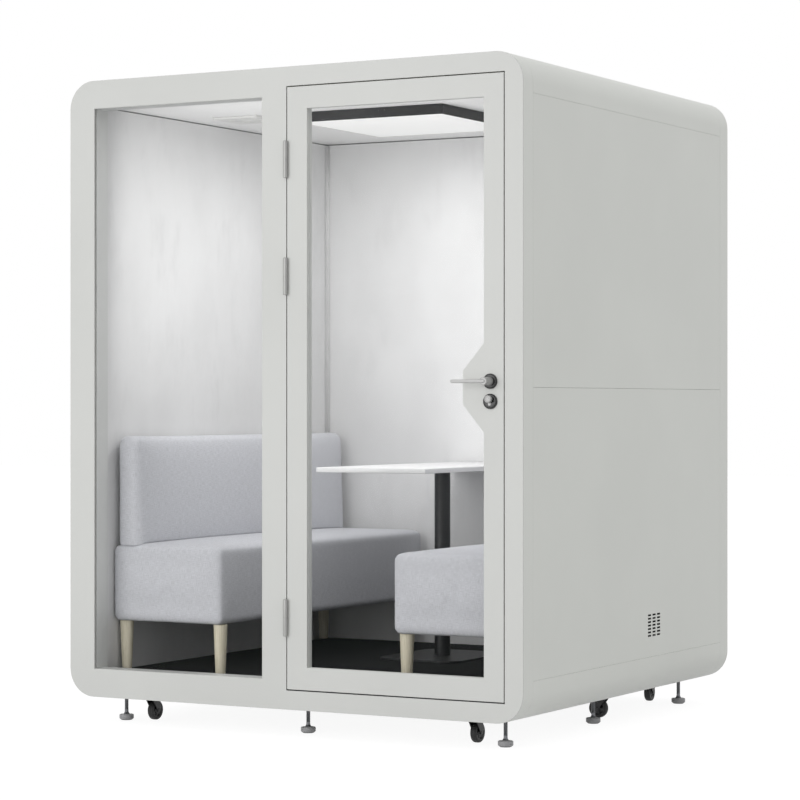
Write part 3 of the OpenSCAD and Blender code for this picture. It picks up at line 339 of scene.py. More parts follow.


# Wraps, rings and outer panels
# Folded sheet steel in a pale warm grey powder coat: wraps round the bottom
# and the roof, front and rear ring frames, clipped side and back panels.
# Painted light: one paint in two tones. The front tone is darker and the side tone paler, to make up for the
# front lamp lighting the front faces more than the sides.
front_grey_dimmed_for_light, side_grey_lifted_for_shade = tone(207, 208, 205), tone(226, 228, 223)
front_coat = powder("front_powder_coat", front_grey_dimmed_for_light, 0.4)
# The sill in the door's gap gets near-black painted shade, and the ring's side returns take the paler side
# tone.
ring_coat = powder("ring_powder_coat", front_grey_dimmed_for_light, 0.4, shaded_sill=at(1749, 1.2, 66), inward=side_grey_lifted_for_shade)
side_coat = powder("side_powder_coat", side_grey_lifted_for_shade, 0.42)
for node, name, finish, slot in (
        ("base_shell", "bottom_wrap", side_coat, "side_paint"),
        ("roof_shell", "roof_wrap", side_coat, "side_paint"),
        ("rear_frame", "rear_ring", side_coat, "side_paint"),
        ("side_panels_left", "left_panels", side_coat, "side_paint"),
        ("side_panels_right", "right_panels", side_coat, "side_paint"),
        ("back_panels", "rear_panels", side_coat, "side_paint"),
        ("front_frame", "front_ring", ring_coat, "front_paint")):
    sheet_metal = dressed(node, name, [finish], 0.0007)
    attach(sheet_metal, "cabin")
    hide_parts(node)

# Insulation
# Pressed grey fibre boards behind the panels and a floor deck of the same
# colour; only their edges can be seen, through the vent.
felt = Finish("pressed_fibre")
fibre = felt.noise(0.004, 6, (3, 1, 1), 0.7)
paint_node("panel_cores", felt.coat(
    base_color=felt.mix(fibre, tone(70, 72, 75), tone(120, 122, 126)), roughness=0.95,
    normal=felt.bump(fibre, 0.0008, 0.7)))


# Lining
# Boards with a pale concrete print: soft clouds, trowel smudges and fine
# pores. The front lining and its reveals are painted like the door.
def concrete(name, colour):
    """Broad clouds, upright smudges and a few small dark pores, all faint."""
    board = Finish(name)
    clouds = board.noise(0.5, 5, (1, 1, 1.5), 0.6)
    smudge = board.ramp(board.noise(0.11, 5, (1, 1, 2.6), 0.65), 0.52, 0.74)
    pores = board.ramp(board.noise(0.006, 3), 0.68, 0.76)
    fine = board.noise(0.0012, 2)
    deep, pale, stain = shades(colour, 0.93, 1.03, 0.86)
    print_tone = board.mix(board.ramp(clouds, 0.32, 0.68), deep, pale)
    worn = board.mix(smudge * 0.45 + pores * 0.3, print_tone, stain)
    return board.coat(base_color=worn, roughness=clouds * 0.16 + 0.66, specular_ior_level=0.12,
                      normal=board.bump(fine * 0.3 - pores, 0.0002, 0.5))


wall_finish = concrete("concrete_board", tone(222, 222, 222))
reveal_coat = powder("reveal_coat", tone(210, 211, 209), 0.45)
ceiling_finish = powder("ceiling_coat", tone(236, 236, 235), 0.6, 0.015, 0.003, 0.0001)
for node, name, finish, slot in (
        ("front_liner", "front_lining", reveal_coat, "lining_paint"),
        ("wall_liners", "wall_boards", wall_finish, "wall_board"),
        ("ceiling_panel", "ceiling_board", ceiling_finish, "wall_board")):
    board_piece = dressed(node, name, [finish], 0.0005)
    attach(board_piece, "cabin")
    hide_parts(node)


def brushed(name, colour, rough, stretch=(1, 1, 30), relief=0.00002, metallic=1.0):
    """Steel with a fine brushed line along one axis, and faint handling marks in its gloss."""
    metal = Finish(name)
    lines = metal.noise(0.0006, 2, stretch)
    marks = metal.noise(0.03, 4)
    return metal.coat(base_color=metal.mix(lines, *shades(colour, 0.9, 1.06)), metallic=metallic,
                      roughness=lines * 0.12 + marks * 0.12 + (rough - 0.12),
                      normal=metal.bump(lines, relief, 0.4))


# Angles of brushed aluminium that cover the two rear corners.
corner_metal = brushed("corner_metal", tone(205, 205, 205), 0.38)
corner_piece = dressed("corner_profiles", "corner_angles", [corner_metal], 0.0003)
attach(corner_piece, "cabin")
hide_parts("corner_profiles")

# Carpet
# Loop-pile carpet in near black with a few paler yarns, laid wall to wall on
# the deck. Its top swells a little, as pile does.
carpet_low, carpet_high = box_of("carpet")


def carpet_shell(low, high, pitch=0.012, edge=0.004):
    """A slab as a grid over its plan. The top is the high corner's height less a swell, which is a
    product of two bent sines, and less a quarter round at the walls. A rim joins it to the flat
    underside."""
    xs = np.linspace(low[0], high[0], int((high[0] - low[0]) / pitch))
    ys = np.linspace(low[1], high[1], int((high[1] - low[1]) / pitch))
    x, y = np.meshgrid(xs, ys, indexing="ij")
    near = np.minimum.reduce([x - low[0], high[0] - x, y - low[1], high[1] - y])
    drop = edge * (1 - np.sqrt(1 - (1 - np.clip(near / edge, 0, 1)) ** 2))
    swell = 0.00025 * (1 + np.sin(x * 61 + 2 * np.sin(y * 23)) * np.sin(y * 53 + 1.7 * np.sin(x * 19)))
    top = np.stack([x, y, high[2] - drop - swell], -1)
    base = np.stack([x[[0, -1]][:, [0, -1]], y[[0, -1]][:, [0, -1]], np.full((2, 2), low[2])], -1)
    rim_top = np.concatenate([top[:-1, 0], top[-1, :-1], top[:0:-1, -1], top[0, :0:-1]])
    rim = np.stack([rim_top, rim_top * [1, 1, 0] + [0, 0, low[2]]])
    return [surface(top), surface(rim, around=True), surface(base)]


pile = Finish("loop_pile")
loops = pile.add("ShaderNodeTexVoronoi", {}, {"Vector": pile.where(), "Scale": 420.0}, "Distance")
yarn = pile.add("ShaderNodeTexVoronoi", {}, {"Vector": pile.where(), "Scale": 420.0}, "Color")
yarn_value = pile.add("ShaderNodeSeparateColor", {}, {0: yarn}, 0)
tread = pile.noise(0.09, 4)
pile_tone = pile.mix(pile.ramp(yarn_value, 0.55, 1.0) * 0.8, tone(9, 9, 11), tone(32, 32, 36))
carpet_finish = pile.coat(
    base_color=pile.mix(pile.ramp(tread, 0.3, 0.7) * 0.4, pile_tone, tone(13, 13, 14)),
    roughness=0.96, sheen_weight=0.02, specular_ior_level=0.12,
    normal=pile.bump(1 - loops, 0.0014, 0.8))
carpet_piece = build("loop_carpet", carpet_shell(carpet_low, carpet_high), [carpet_finish])
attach(carpet_piece, "cabin")
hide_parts("carpet")


# Fixed window
# Laminated pane in a channel of rubber, which the front lining
#  presses against the ring frame. The rubber's grey is raised to pale, painted light that makes up for
#  the shade in its narrow slit. It reads as clear, with hardly a veil.
def pane_finish(name):
    """Clear pane: nearly see-through, with the faint wash of grime that only shows in its gloss."""
    pane = Finish(name)
    wash = pane.noise(0.25, 4)
    return pane.coat(base_color=tone(96, 104, 101), roughness=wash * 0.04 + 0.01,
                     alpha=0.02, specular_ior_level=0.5)


def rubber_finish(name, colour, rough=0.7):
    """Matt rubber with a fine grain and a trace of bloom."""
    rubber = Finish(name)
    bloom = rubber.noise(0.02, 4)
    grain = rubber.noise(0.0007, 2)
    pale = tuple(c * 1.1 + 0.01 for c in colour[:3]) + (1,)
    return rubber.coat(base_color=rubber.mix(bloom * 0.5, colour, pale),
                       roughness=grain * 0.15 + rough, normal=rubber.bump(grain, 0.0001, 0.5))


pane_material = pane_finish("clear_pane")
# Painted light: the rubber is made pale to offset the shade in the narrow slit it sits in.
pane_rubber_lifted_for_shade = rubber_finish("pane_rubber_lifted_for_shade", tone(205, 206, 203))
seal_rubber = rubber_finish("seal_rubber", tone(38, 38, 39))
window_pane = dressed("window_glass", "window_pane", [pane_material], 0.001)
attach(window_pane, "cabin")
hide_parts("window_glass")
window_rubber = dressed("window_gasket", "window_rubber", [pane_rubber_lifted_for_shade], 0.0003)
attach(window_rubber, "cabin")
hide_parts("window_gasket")

# Soft rubber against which the door closes, pushed onto the stop.
seal_piece = dressed("door_seal", "stop_seal", [seal_rubber], 0.0012, 3)
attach(seal_piece, "cabin")
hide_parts("door_seal")

# Ceiling lamp
# Square black sheet tray screwed to the ceiling, with an opal sheet let into
# its underside that glows evenly.
tray = dressed("lamp_housing", "lamp_tray", [black_coat], 0.0005)
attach(tray, "cabin")
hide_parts("lamp_housing")
opal = Finish("opal_sheet")
frost = opal.noise(0.0009, 2)
spread_light = opal.noise(0.3, 1)
opal_sheet = dressed("lamp_diffuser", "lamp_opal", [opal.coat(
    base_color=tone(240, 240, 238), roughness=frost * 0.2 + 0.35,
    emission_color=opal.mix(spread_light, tone(246, 246, 246), tone(255, 255, 254)),
    emission_strength=0.19, normal=opal.bump(frost, 0.00005, 0.5))], 0.0005)
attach(opal_sheet, "cabin")
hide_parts("lamp_diffuser")


# Ceiling fans
# Axial fans let into the ceiling: a white moulded frame with a slotted
# grille, and a black rotor with seven twisted blades.
def moulded(name, colour, rough=0.45):
    """Moulded plastic with the spark-eroded grain of its tool."""
    plastic = Finish(name)
    spark = plastic.noise(0.0009, 3)
    flow = plastic.noise(0.12, 2)
    return plastic.coat(base_color=plastic.mix(flow, *shades(colour, 0.93, 1)),
                        roughness=spark * 0.2 + (rough - 0.1), normal=plastic.bump(spark, 0.00008, 0.5))


def turned(profile, steps=48, flutes=0, flute_depth=0.0):
    """Profile of radius and height carried once round the Z axis. Flutes lower the radius by a raised
    cosine."""
    angle = np.linspace(0, 2 * math.pi, steps, endpoint=False)
    profile = np.asarray(profile, float)
    flute = flute_depth * (0.5 + 0.5 * np.cos(flutes * angle))
    radius = profile[:, :1] - flute * (profile[:, :1] > 0)
    z = np.broadcast_to(profile[:, 1:], (len(profile), steps))
    return np.stack([radius * np.cos(angle), radius * np.sin(angle), z], -1)


grille_finish = moulded("white_moulding", tone(222, 222, 220))
rotor_finish = moulded("black_moulding", tone(36, 36, 38), 0.5)
fan_piece = dressed("fan_frames", "fan_housings", [grille_finish], 0.0005)
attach(fan_piece, "cabin")
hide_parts("fan_frames")


def rotor_shells(blades=7, hub=0.0248, tip=0.0695, height=0.025):
    """A hub turned from its profile, and blades whose elliptic section turns from 48 degrees at the hub
    to 26 at the tip. Each blade ends in a point inside the hub and at the tip."""
    hub_profile = [(0.0031, 0), (hub - 0.002, 0), (hub, 0.002), (hub, height - 0.001), (hub - 0.001, height),
                   (0.0031, height), (0.0031, 0)]
    shells = [surface(turned(hub_profile), True)]
    along = np.array([0.0, 0.0, 0.2, 0.4, 0.6, 0.8, 1.0, 1.0])[:, None]
    fill = np.array([0.0, 1, 1, 1, 1, 1, 1, 0.0])[:, None]
    turn = np.linspace(0, 2 * math.pi, 16, endpoint=False)[None, :]
    radius = hub - 0.003 + along * (tip - hub + 0.003)
    pitch = np.radians(48 - 22 * along)
    chord, thick = 0.0145 * np.cos(turn) * fill, 0.0009 * np.sin(turn) * fill
    across = chord * np.cos(pitch) - thick * np.sin(pitch)
    rise = (chord * np.sin(pitch) + thick * np.cos(pitch)) * 0.98 + height / 2
    sweep = across / radius
    blade = np.stack([radius * np.cos(sweep), radius * np.sin(sweep), rise + 0 * radius], -1)
    for turned_by in np.arange(blades) * 2 * math.pi / blades:
        c, s = math.cos(turned_by), math.sin(turned_by)
        shells.append(surface(blade @ np.array([[c, s, 0], [-s, c, 0], [0, 0, 1]]), True))
    return shells


for hand in ("left", "right"):
    low, high = box_of("fan_rotor_" + hand)
    centre = [*(low + high)[:2] / 2, low[2]]
    rotor = build("rotor_" + hand, [(p + centre, q) for p, q in rotor_shells()], [rotor_finish])
    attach(rotor, "rotor_" + hand)
    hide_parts("fan_rotor_" + hand)

# Bench legs
# Turned beech legs, tapered and lacquered, screwed under the seats, each on a
# small black glide.
beech = Finish("lacquered_beech")
grain = beech.noise(0.004, 4, (1, 1, 22), 0.6)
flecks = beech.ramp(beech.noise(0.0012, 2, (1, 1, 9)), 0.62, 0.75)
wood_tone = beech.mix(beech.ramp(grain, 0.3, 0.7), tone(205, 197, 172), tone(226, 219, 198))
leg_finish = beech.coat(base_color=beech.mix(flecks * 0.5, wood_tone, tone(178, 160, 126)),
                        roughness=grain * 0.15 + 0.38, coat_weight=0.2,
                        normal=beech.bump(grain - flecks, 0.00015, 0.4))
glide_finish = moulded("glide_moulding", tone(45, 45, 46))
legs_low, legs_high = box_of("bench_legs")
leg_top, leg_foot, leg_height, leg_spacing = 0.025, 0.018, 0.178, 0.404
taper = [(leg_foot + (leg_top - leg_foot) * k, 0.0045 + (leg_height - 0.0055) * k)
         for k in (0.75, 0.5, 0.25, 0.0)]
leg_profile = [(0, leg_height), (leg_top - 0.001, leg_height), (leg_top, leg_height - 0.001), *taper,
               (leg_foot - 0.0015, 0.003), (0, 0.003)]
glide_profile = [(0, 0.0032), (leg_foot - 0.003, 0.0032), (leg_foot - 0.003, 0.0008),
                 (leg_foot - 0.004, 0), (0, 0)]
leg_shells = []
first_leg, last_leg = legs_low + leg_top, legs_high - leg_top
for x in (first_leg[0], first_leg[0] + leg_spacing, last_leg[0] - leg_spacing, last_leg[0]):
    for y in (first_leg[1], last_leg[1]):
        foot = np.array([x, y, legs_low[2]])
        for number, profile in enumerate((leg_profile, glide_profile)):
            p, q = surface(turned(profile, 40), True)
            leg_shells.append((p + foot, q, number))
legs = build("turned_legs", leg_shells, [leg_finish, glide_finish])
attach(legs, "cabin")
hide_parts("bench_legs")

# Seats and backrests
# Foam blocks in a pale grey woven cover, glued to plywood. The cover is
# tight: the edges are soft, and the tops and the faces to lean on crown.
cloth = Finish("woven_cover")
cloth_point = cloth.where(source="UV")
thread = 0.0011


def yarn_wave(number):
    """Sine of the distance across (0) or along (1) the cloth, half a wave to each thread."""
    angle = cloth.add("ShaderNodeSeparateXYZ", {}, {0: cloth_point}, number) * (math.pi / thread)
    return angle.reckon("SINE", angle)


weave = yarn_wave(0) * yarn_wave(1)
warp_yarn = cloth.noise(0.0016, 3, (1, 14, 1), source="UV")
weft_yarn = cloth.noise(0.0016, 3, (14, 1, 1), source="UV")
slub = cloth.ramp(cloth.noise(0.006, 3, (1, 5, 1), source="UV"), 0.5, 0.8)
melange = warp_yarn * 0.5 + weft_yarn * 0.5
pale_yarn = tone(214, 215, 220)
cloth_tone = cloth.mix(cloth.ramp(melange, 0.34, 0.66), tone(191, 192, 196), pale_yarn)
cloth_tone = cloth.mix(slub * 0.25, cloth_tone, pale_yarn)
seat_cover = cloth.coat(base_color=cloth_tone, roughness=melange * 0.1 + 0.85, sheen_weight=0.06,
                        sheen_roughness=0.5, specular_ior_level=0.2,
                        normal=cloth.bump(weave * 0.2 + melange * 0.6, 0.0003, 0.5))


def soft_box(low, high, radius, steps=6):
    """A box with round edges: every point of a sphere's grid is moved outwards by the box's half sizes
    less the radius, along the signs of its own direction, so that each octant of the sphere becomes a
    corner."""
    quarter = np.linspace(0, math.pi / 2, steps + 1)
    turn = np.concatenate([quarter + k * math.pi / 2 for k in range(4)])
    rise = np.concatenate([quarter - math.pi / 2, quarter])
    sign_x = np.repeat([1, -1, -1, 1], steps + 1)
    sign_y = np.repeat([1, 1, -1, -1], steps + 1)
    sign_z = np.repeat([-1, 1], steps + 1)[:, None]
    ring = np.cos(rise)[:, None]
    sphere = np.stack([ring * np.cos(turn), ring * np.sin(turn), np.sin(rise)[:, None] + 0 * turn], -1)
    signs = np.stack([sign_x + 0 * sign_z, sign_y + 0 * sign_z, sign_z + 0 * turn.astype(int)], -1)
    middle, half = (np.array(low) + high) / 2, (np.array(high) - low) / 2
    body = middle + signs * (half - radius) + sphere * radius
    caps = np.broadcast_to(middle + [[[0, 0, -half[2]]], [[0, 0, half[2]]]], (2, len(turn), 3))
    return surface(np.concatenate([caps[:1], body, caps[1:]]), True)


def baked(piece):
    """The mesh that a piece's modifiers give now, as its own mesh, and the piece without them."""
    shape = piece.evaluated_get(bpy.context.evaluated_depsgraph_get())
    mesh = bpy.data.meshes.new_from_object(shape)
    piece.modifiers.clear()
    piece.data = mesh
    return piece


def read_points(mesh):
    """The points of a mesh, one row each."""
    points = np.empty(len(mesh.vertices) * 3)
    mesh.vertices.foreach_get("co", points)
    return points.reshape(-1, 3)


def inflate(piece, most, frames=20):
    """Blows the closed cover up with Cloth for some frames. No point moves by more than most metres:
    far moves are bent down smoothly by a hyperbolic tangent."""
    start = read_points(piece.data)
    cover = piece.modifiers.new("cover", "CLOTH")
    cover.settings.use_pressure = True
    cover.settings.uniform_pressure_force = 4.0
    cover.settings.effector_weights.gravity = 0.0
    cover.settings.quality = 5
    for number in range(1, frames + 1):
        scene.frame_set(number)
    baked(piece)
    scene.frame_set(1)
    move = read_points(piece.data) - start
    size = np.linalg.norm(move, axis=1, keepdims=True)
    moved = start + move / np.maximum(size, 1e-9) * most * np.tanh(size / most)
    piece.data.vertices.foreach_set("co", moved.ravel())
    return piece


def box_map(mesh):
    """UV map in metres: each face is seen along the axis that its normal follows most."""
    count = len(mesh.loops)
    index = np.empty(count, np.int32)
    mesh.loops.foreach_get("vertex_index", index)
    normals = np.empty(len(mesh.polygons) * 3)
    mesh.polygons.foreach_get("normal", normals)
    totals = np.empty(len(mesh.polygons), np.int32)
    mesh.polygons.foreach_get("loop_total", totals)
    axis = np.repeat(np.abs(normals.reshape(-1, 3)).argmax(1), totals)
    points = read_points(mesh)[index]
    across = np.where(axis == 0, points[:, 2], points[:, 0])
    along = np.where(axis == 1, points[:, 2], points[:, 1])
    layer = mesh.uv_layers.new(name="weave")
    layer.data.foreach_set("uv", np.stack([across, along], -1).ravel())


def top_height(bed, points, reach=0.012):
    """Height of a cover's top at each point: the mean height of its own points nearby, weighted by a
    bell curve of their distance."""
    top = read_points(bed.data)
    top = top[top[:, 2] > top[:, 2].max() - 0.025]
    square = ((points[:, None, :2] - top[None, :, :2]) ** 2).sum(-1)
    weight = np.exp(-square / (2 * reach ** 2)) + 1e-12
    return (weight * top[:, 2]).sum(1) / weight.sum(1)


def subdivided(piece):
    """The piece with one level of subdivision."""
    smooth = piece.modifiers.new("smooth", "SUBSURF")
    smooth.levels = smooth.render_levels = 1
    return piece


def cushion(name, low, high, crowned, crown, radius, slant=0.0, bed=None):
    """A soft block between two corners: remeshed evenly, blown up by Cloth, crowned on the face along
    the crowned axis and side by a product of two powers of the distance from its middle, and pressed
    flat where it swells far out of its box. With a slant its thickness along X grows downwards by that
    share for each metre. A block with a bed starts lower, and what lies below the top of its bed is
    pressed up to it, so its lower edges are square."""
    low, high = np.array(low), np.array(high)
    voxel, shrink, most = 0.0125, 0.002, 0.005
    sunk = 0.03 if bed else 0.0
    piece = build(name, [soft_box(low + shrink - [0, 0, sunk], high - shrink, radius)], [seat_cover])
    grid = piece.modifiers.new("even_grid", "REMESH")
    grid.mode, grid.voxel_size = "VOXEL", voxel
    baked(piece)
    inflate(piece, most)
    points = read_points(piece.data)
    axis, side_sign = crowned
    middle, half = (low + high) / 2, (high - low) / 2
    share = (points - middle) / half
    others = [k for k in range(3) if k != axis]
    swell = np.prod([1 - np.clip(np.abs(share[:, k]), 0, 1) ** 2.5 for k in others], axis=0)
    lift = np.clip(share[:, axis] * side_sign, 0, 1) ** 2
    points[:, axis] += side_sign * crown * swell * lift
    bulge = np.array([0.002, 0.003, sunk])
    proud = np.where(np.arange(3) == axis, crown, 0) + 0.003
    points = np.clip(points, low - bulge, high + proud)
    if bed:
        lower = points[:, 2] < low[2] + 0.04
        rest_on = top_height(bed, points[lower]) + 0.0005
        points[lower, 2] = np.where(points[lower, 2] < rest_on + voxel / 3, rest_on, points[lower, 2])
    points[:, 0] = low[0] + (points[:, 0] - low[0]) * (1 + slant * (middle[2] - points[:, 2]))
    piece.data.vertices.foreach_set("co", points.ravel())
    piece.data.polygons.foreach_set("use_smooth", np.ones(len(piece.data.polygons), bool))
    piece.data.update()
    box_map(piece.data)
    return subdivided(piece)


def mirrored(piece, name):
    """The same cover for the other side: X is turned round and every face's order with it."""
    mesh = piece.data.copy()
    points = read_points(mesh) * [-1, 1, 1]
    mesh.vertices.foreach_set("co", points.ravel())
    mesh.flip_normals()
    other = bpy.data.objects.new(name, mesh)
    scene.collection.objects.link(other)
    return subdivided(other)


seat_low, seat_high = box_of("seat_left")
rest_low, rest_high = box_of("backrest_left")
seat_swell, rest_swell, rest_thick, rest_tall, rest_splay = 0.0015, 0.009, 0.1, 0.390, 0.014
rest_corner = [rest_low[0] + rest_thick, rest_high[1], rest_high[2] + rest_swell]
left_seat = cushion("seat_block_left", seat_low, seat_high + [0, 0, seat_swell], (2, 1),
                    crown=0.008, radius=0.018)
left_rest = cushion("back_block_left", rest_low, rest_corner, (0, 1), crown=0.005, radius=0.03,
                    slant=rest_splay / (rest_thick * rest_tall), bed=left_seat)
covers = {"seat_left": left_seat, "seat_right": mirrored(left_seat, "seat_block_right"),
          "backrest_left": left_rest, "backrest_right": mirrored(left_rest, "back_block_right")}
for node, cover in covers.items():
    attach(cover, "cabin")
    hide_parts(node)

# Table
# White laminate on board with thin edge banding, on a black steel column with
# a rounded base plate; all welded parts are powder coated.
laminate = Finish("white_laminate")
leather_grain = laminate.noise(0.0014, 3)
wipe = laminate.noise(0.2, 3)
top_finish = laminate.coat(
    base_color=laminate.mix(wipe, tone(232, 232, 233), tone(240, 240, 240)), roughness=wipe * 0.1 + 0.32,
    normal=laminate.bump(leather_grain, 0.00005, 0.5))
banding = moulded("edge_banding", tone(236, 236, 236), 0.35)
top_low, top_high = box_of("table_top")
band, inset = np.array([0.0009, 0.0009, 0]), np.array([0, 0, 0.0010])
table_piece = build("laminate_top", [
    soft_box(top_low + band, top_high - band, 0.0012, 3),
    (*soft_box(top_low + inset, top_high - inset, 0.0006, 2), 1)], [top_finish, banding])
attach(table_piece, "cabin")
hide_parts("table_top")
stand = dressed("table_stand", "column_stand", [black_coat], 0.001, 3)
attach(stand, "cabin")
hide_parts("table_stand")

# Door leaf
# Hollow folded leaf with a stile that widens round the lock, glazed from
# inside: pane, rubber channel and a clipped bead.
leaf = dressed("door_frame", "door_leaf", [front_coat], 0.0007)
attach(leaf, "door")
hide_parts("door_frame")
door_pane = dressed("door_glass", "door_pane", [pane_material], 0.001)
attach(door_pane, "door")
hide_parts("door_glass")
door_rubber = dressed("door_gasket", "door_rubber", [pane_rubber_lifted_for_shade], 0.0003)
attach(door_rubber, "door")
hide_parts("door_gasket")


# Hinges
# Lift-off hinges of satin steel: a barrel with rounded ends, parted in the
# middle, and a thin wing on the frame and on the edge of the leaf.
hinge_metal = brushed("hinge_metal", tone(172, 172, 170), 0.36, metallic=0.3)
hinge_x, hinge_y, hinge_half, wing_depth = 912.5, -9.0, 64.0, 32
barrel = np.array([(0, 0.15), (7.2, 0.15), (8, 0.7), (8, 60), (7.6, 62.3), (6.2, 63.6), (4, 64), (0, 64)])
for part, body, node, sign in (("hinge_frame", "cabin", "frame_hardware", -1),
                               ("hinge_door", "door", "door_hardware", 1)):
    hinge_shells = []
    for z in (315, 1482, 1882):
        ring = turned(barrel * [1, sign], 40) / 1000 + at(hinge_x, hinge_y, z)
        wing_x = sorted((hinge_x + sign * 0.6, hinge_x + sign * 2.0))
        wing_z = sorted((z + sign * 0.3, z + sign * hinge_half))
        hinge_shells += [surface(ring, True), soft_box(
            at(wing_x[0], hinge_y, wing_z[0]), at(wing_x[1], wing_depth, wing_z[1]), 0.0004, 2)]
    hinge = build(part, hinge_shells, [hinge_metal])
    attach(hinge, body)
    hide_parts(node)

# Strike plate, let in flush with the doorway's side.
strike = dressed("frame_hardware", "strike_plate", [hinge_metal], 0.0003, keep=lambda p: p.x > 0.8)
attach(strike, "cabin")
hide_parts("frame_hardware")

# Lock
# Mortise lock inside the stile, with its forend, the profile cylinder that
# stands just proud of the rosettes, and two square bolts.
lock_metal = brushed("lock_metal", tone(172, 172, 171), 0.34, metallic=0.25)
for node, name, body in (("mortise_lock", "lock_case", "door"), ("latch_bolt", "latch_bar", "latch"),
                         ("dead_bolt", "dead_bar", "bolt")):
    lock_piece = dressed(node, name, [lock_metal], 0.0004)
    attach(lock_piece, body)
    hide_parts(node)

# Rosettes: black turned discs with a broad polished bevel and a fine groove.
rosette_finish = powder("rosette_black", tone(26, 26, 27), 0.24, 0.05, 0.002, 0.00002)
lock_x, lever_z, rosette_z, cylinder_z, leaf_thick = 1697.0, 1120.0, 1054.0, 1061.5, 46
radius_steps = np.array([25, 25, 24.4, 22.2, 21.6, 18.4, 18.1, 17.7, 17.4, 15])
depth_steps = np.array([0, 5.2, 6.2, 7.7, 8.0, 8.0, 7.5, 7.5, 8.0, 8.0])


def onto_door(points, x, z, outside):
    """What is drawn with its back on Z = 0 is laid on the outer or the inner face of the leaf, round
    the point x, z."""
    y = -points[..., 2] if outside else leaf_thick + points[..., 2]
    return at(0, 0, 0) + np.stack([x + points[..., 0], y, z + points[..., 1]], -1) / 1000


def rosette(x, z, outside, hole):
    """Rings from the outer radius inwards. The inmost ring and the wall behind it follow the hole,
    whose radius is given for each direction."""
    angle = np.linspace(0, 2 * math.pi, 72, endpoint=False)
    rows = [np.full_like(angle, r) for r in radius_steps] + [hole(angle)] * 2
    depths = [*depth_steps, 8.0, 0.0]
    rows, depths = rows + [rows[0]], depths + [0.0]
    grid = np.stack([np.stack([r * np.cos(angle), r * np.sin(angle), np.full_like(angle, d)], -1)
                     for r, d in zip(rows, depths)])
    return surface(onto_door(grid, x, z, outside), True)


def keyhole(angle):
    """Distance from the lower rosette's middle to the cylinder's outline: the farther of the barrel and
    the tail."""
    dx, dz = np.cos(angle), np.sin(angle)
    up, barrel, tail, low = 7.5, 8.8, 5.3, -9.5
    to_barrel = up * dz + np.sqrt(barrel ** 2 - (up * dx) ** 2)
    to_side = tail / np.maximum(np.abs(dx), 1e-6)
    inside = (to_side * dz > low) & (to_side * dz < up)
    to_round = low * dz + np.sqrt(np.maximum(tail ** 2 - (low * dx) ** 2, 0))
    return np.maximum(to_barrel, np.where(inside, to_side, np.where(dz < 0, to_round, 0)))


rosette_shells = []
for outside in (True, False):
    rosette_shells += [rosette(lock_x, lever_z, outside, lambda a: np.full_like(a, 13.6)),
                       rosette(lock_x, rosette_z, outside, keyhole)]
rosettes = build("black_rosettes", rosette_shells, [rosette_finish])
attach(rosettes, "door")
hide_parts("door_rosettes")

# Lever pair: a round neck on a square spindle, and a slim bar with a rounded
# end that points towards the hinges.
lever_metal = brushed("lever_metal", tone(168, 168, 167), 0.36, (30, 1, 1), metallic=0.25)
neck = [(0, 0.3), (13.5, 0.3), (13.5, 53.0), (13.1, 54.4), (12.0, 55.3), (0, 55.3)]


def lever_bar(length=120.0, half_height=6.0, half_depth=5.5):
    """Sections of a rounded rectangle along X. The half height follows a half circle over the last
    stretch at both ends, and each section is a superellipse of power 5."""
    ease = 0.5 - 0.5 * np.cos(np.linspace(0, math.pi, 13))
    left = -length + half_height * ease
    along = np.concatenate([left, -left[::-1] - length + half_height])[:, None]
    end = np.minimum(along + length, half_height - along) / half_height
    height = half_height * np.sqrt(np.clip(1 - (1 - np.minimum(end, 1)) ** 2, 0, 1))
    turn = np.linspace(0, 2 * math.pi, 40, endpoint=False)[None, :]
    power = 2 / 5
    rise = np.sign(np.sin(turn)) * np.abs(np.sin(turn)) ** power * height
    thin = half_depth * np.minimum(1, 0.55 + height / half_height)
    depth = 52.5 + np.sign(np.cos(turn)) * np.abs(np.cos(turn)) ** power * thin
    bar = np.stack([along + 0 * turn, rise, depth + 0 * along], -1)
    tips = bar.mean(axis=1, keepdims=True)[[0, -1]] + 0 * bar[[0, -1]]
    return np.concatenate([tips[:1], bar, tips[1:]])


lever_shells = []
for outside in (True, False):
    lever_shells += [surface(onto_door(turned(neck, 56), lock_x, lever_z, outside), True),
                     surface(onto_door(lever_bar(), lock_x, lever_z, outside), True)]
spindle = 4
lever_shells.append(soft_box(at(lock_x - spindle, -29, lever_z - spindle),
                             at(lock_x + spindle, 75, lever_z + spindle), 0.0004, 2))
lever = build("lever_pair", lever_shells, [lever_metal])
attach(lever, "lever")
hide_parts("door_lever")

# Turn knobs on both ends of the cylinder's rod, with a fluted grip.
knob = [(0, 10), (11.6, 10), (12.6, 10.7), (13, 11.8), (13, 20.6), (12.4, 22.2), (11, 23), (8.4, 23),
        (7.6, 22.4), (0, 22.4)]
knob_shells = []
for outside in (True, False):
    knob_shells.append(surface(onto_door(turned(knob, 144, 36, 0.35), lock_x, cylinder_z, outside), True))
rod_points = np.concatenate([onto_door(turned([(0, 11), (3, 11)], 24), lock_x, cylinder_z, True),
                             onto_door(turned([(3, 11), (0, 11)], 24), lock_x, cylinder_z, False)])
knob_shells.append(surface(rod_points, True))
knobs = build("turn_knobs", knob_shells, [lever_metal])
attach(knobs, "turn")
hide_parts("thumb_turn")


# Casters
# Twin-race swivel casters: a stamped steel fork bent in one piece over the
# wheel, a riveted axle, and a black rubber tyre on a moulded hub.
def turn_z(points, degrees, place):
    """Turned about Z and set down at a place of the body's underside, in millimetres."""
    c, s = math.cos(math.radians(degrees)), math.sin(math.radians(degrees))
    return points @ np.array([[c, s, 0], [-s, c, 0], [0, 0, 1]]) / 1000 + at(*place, 0)


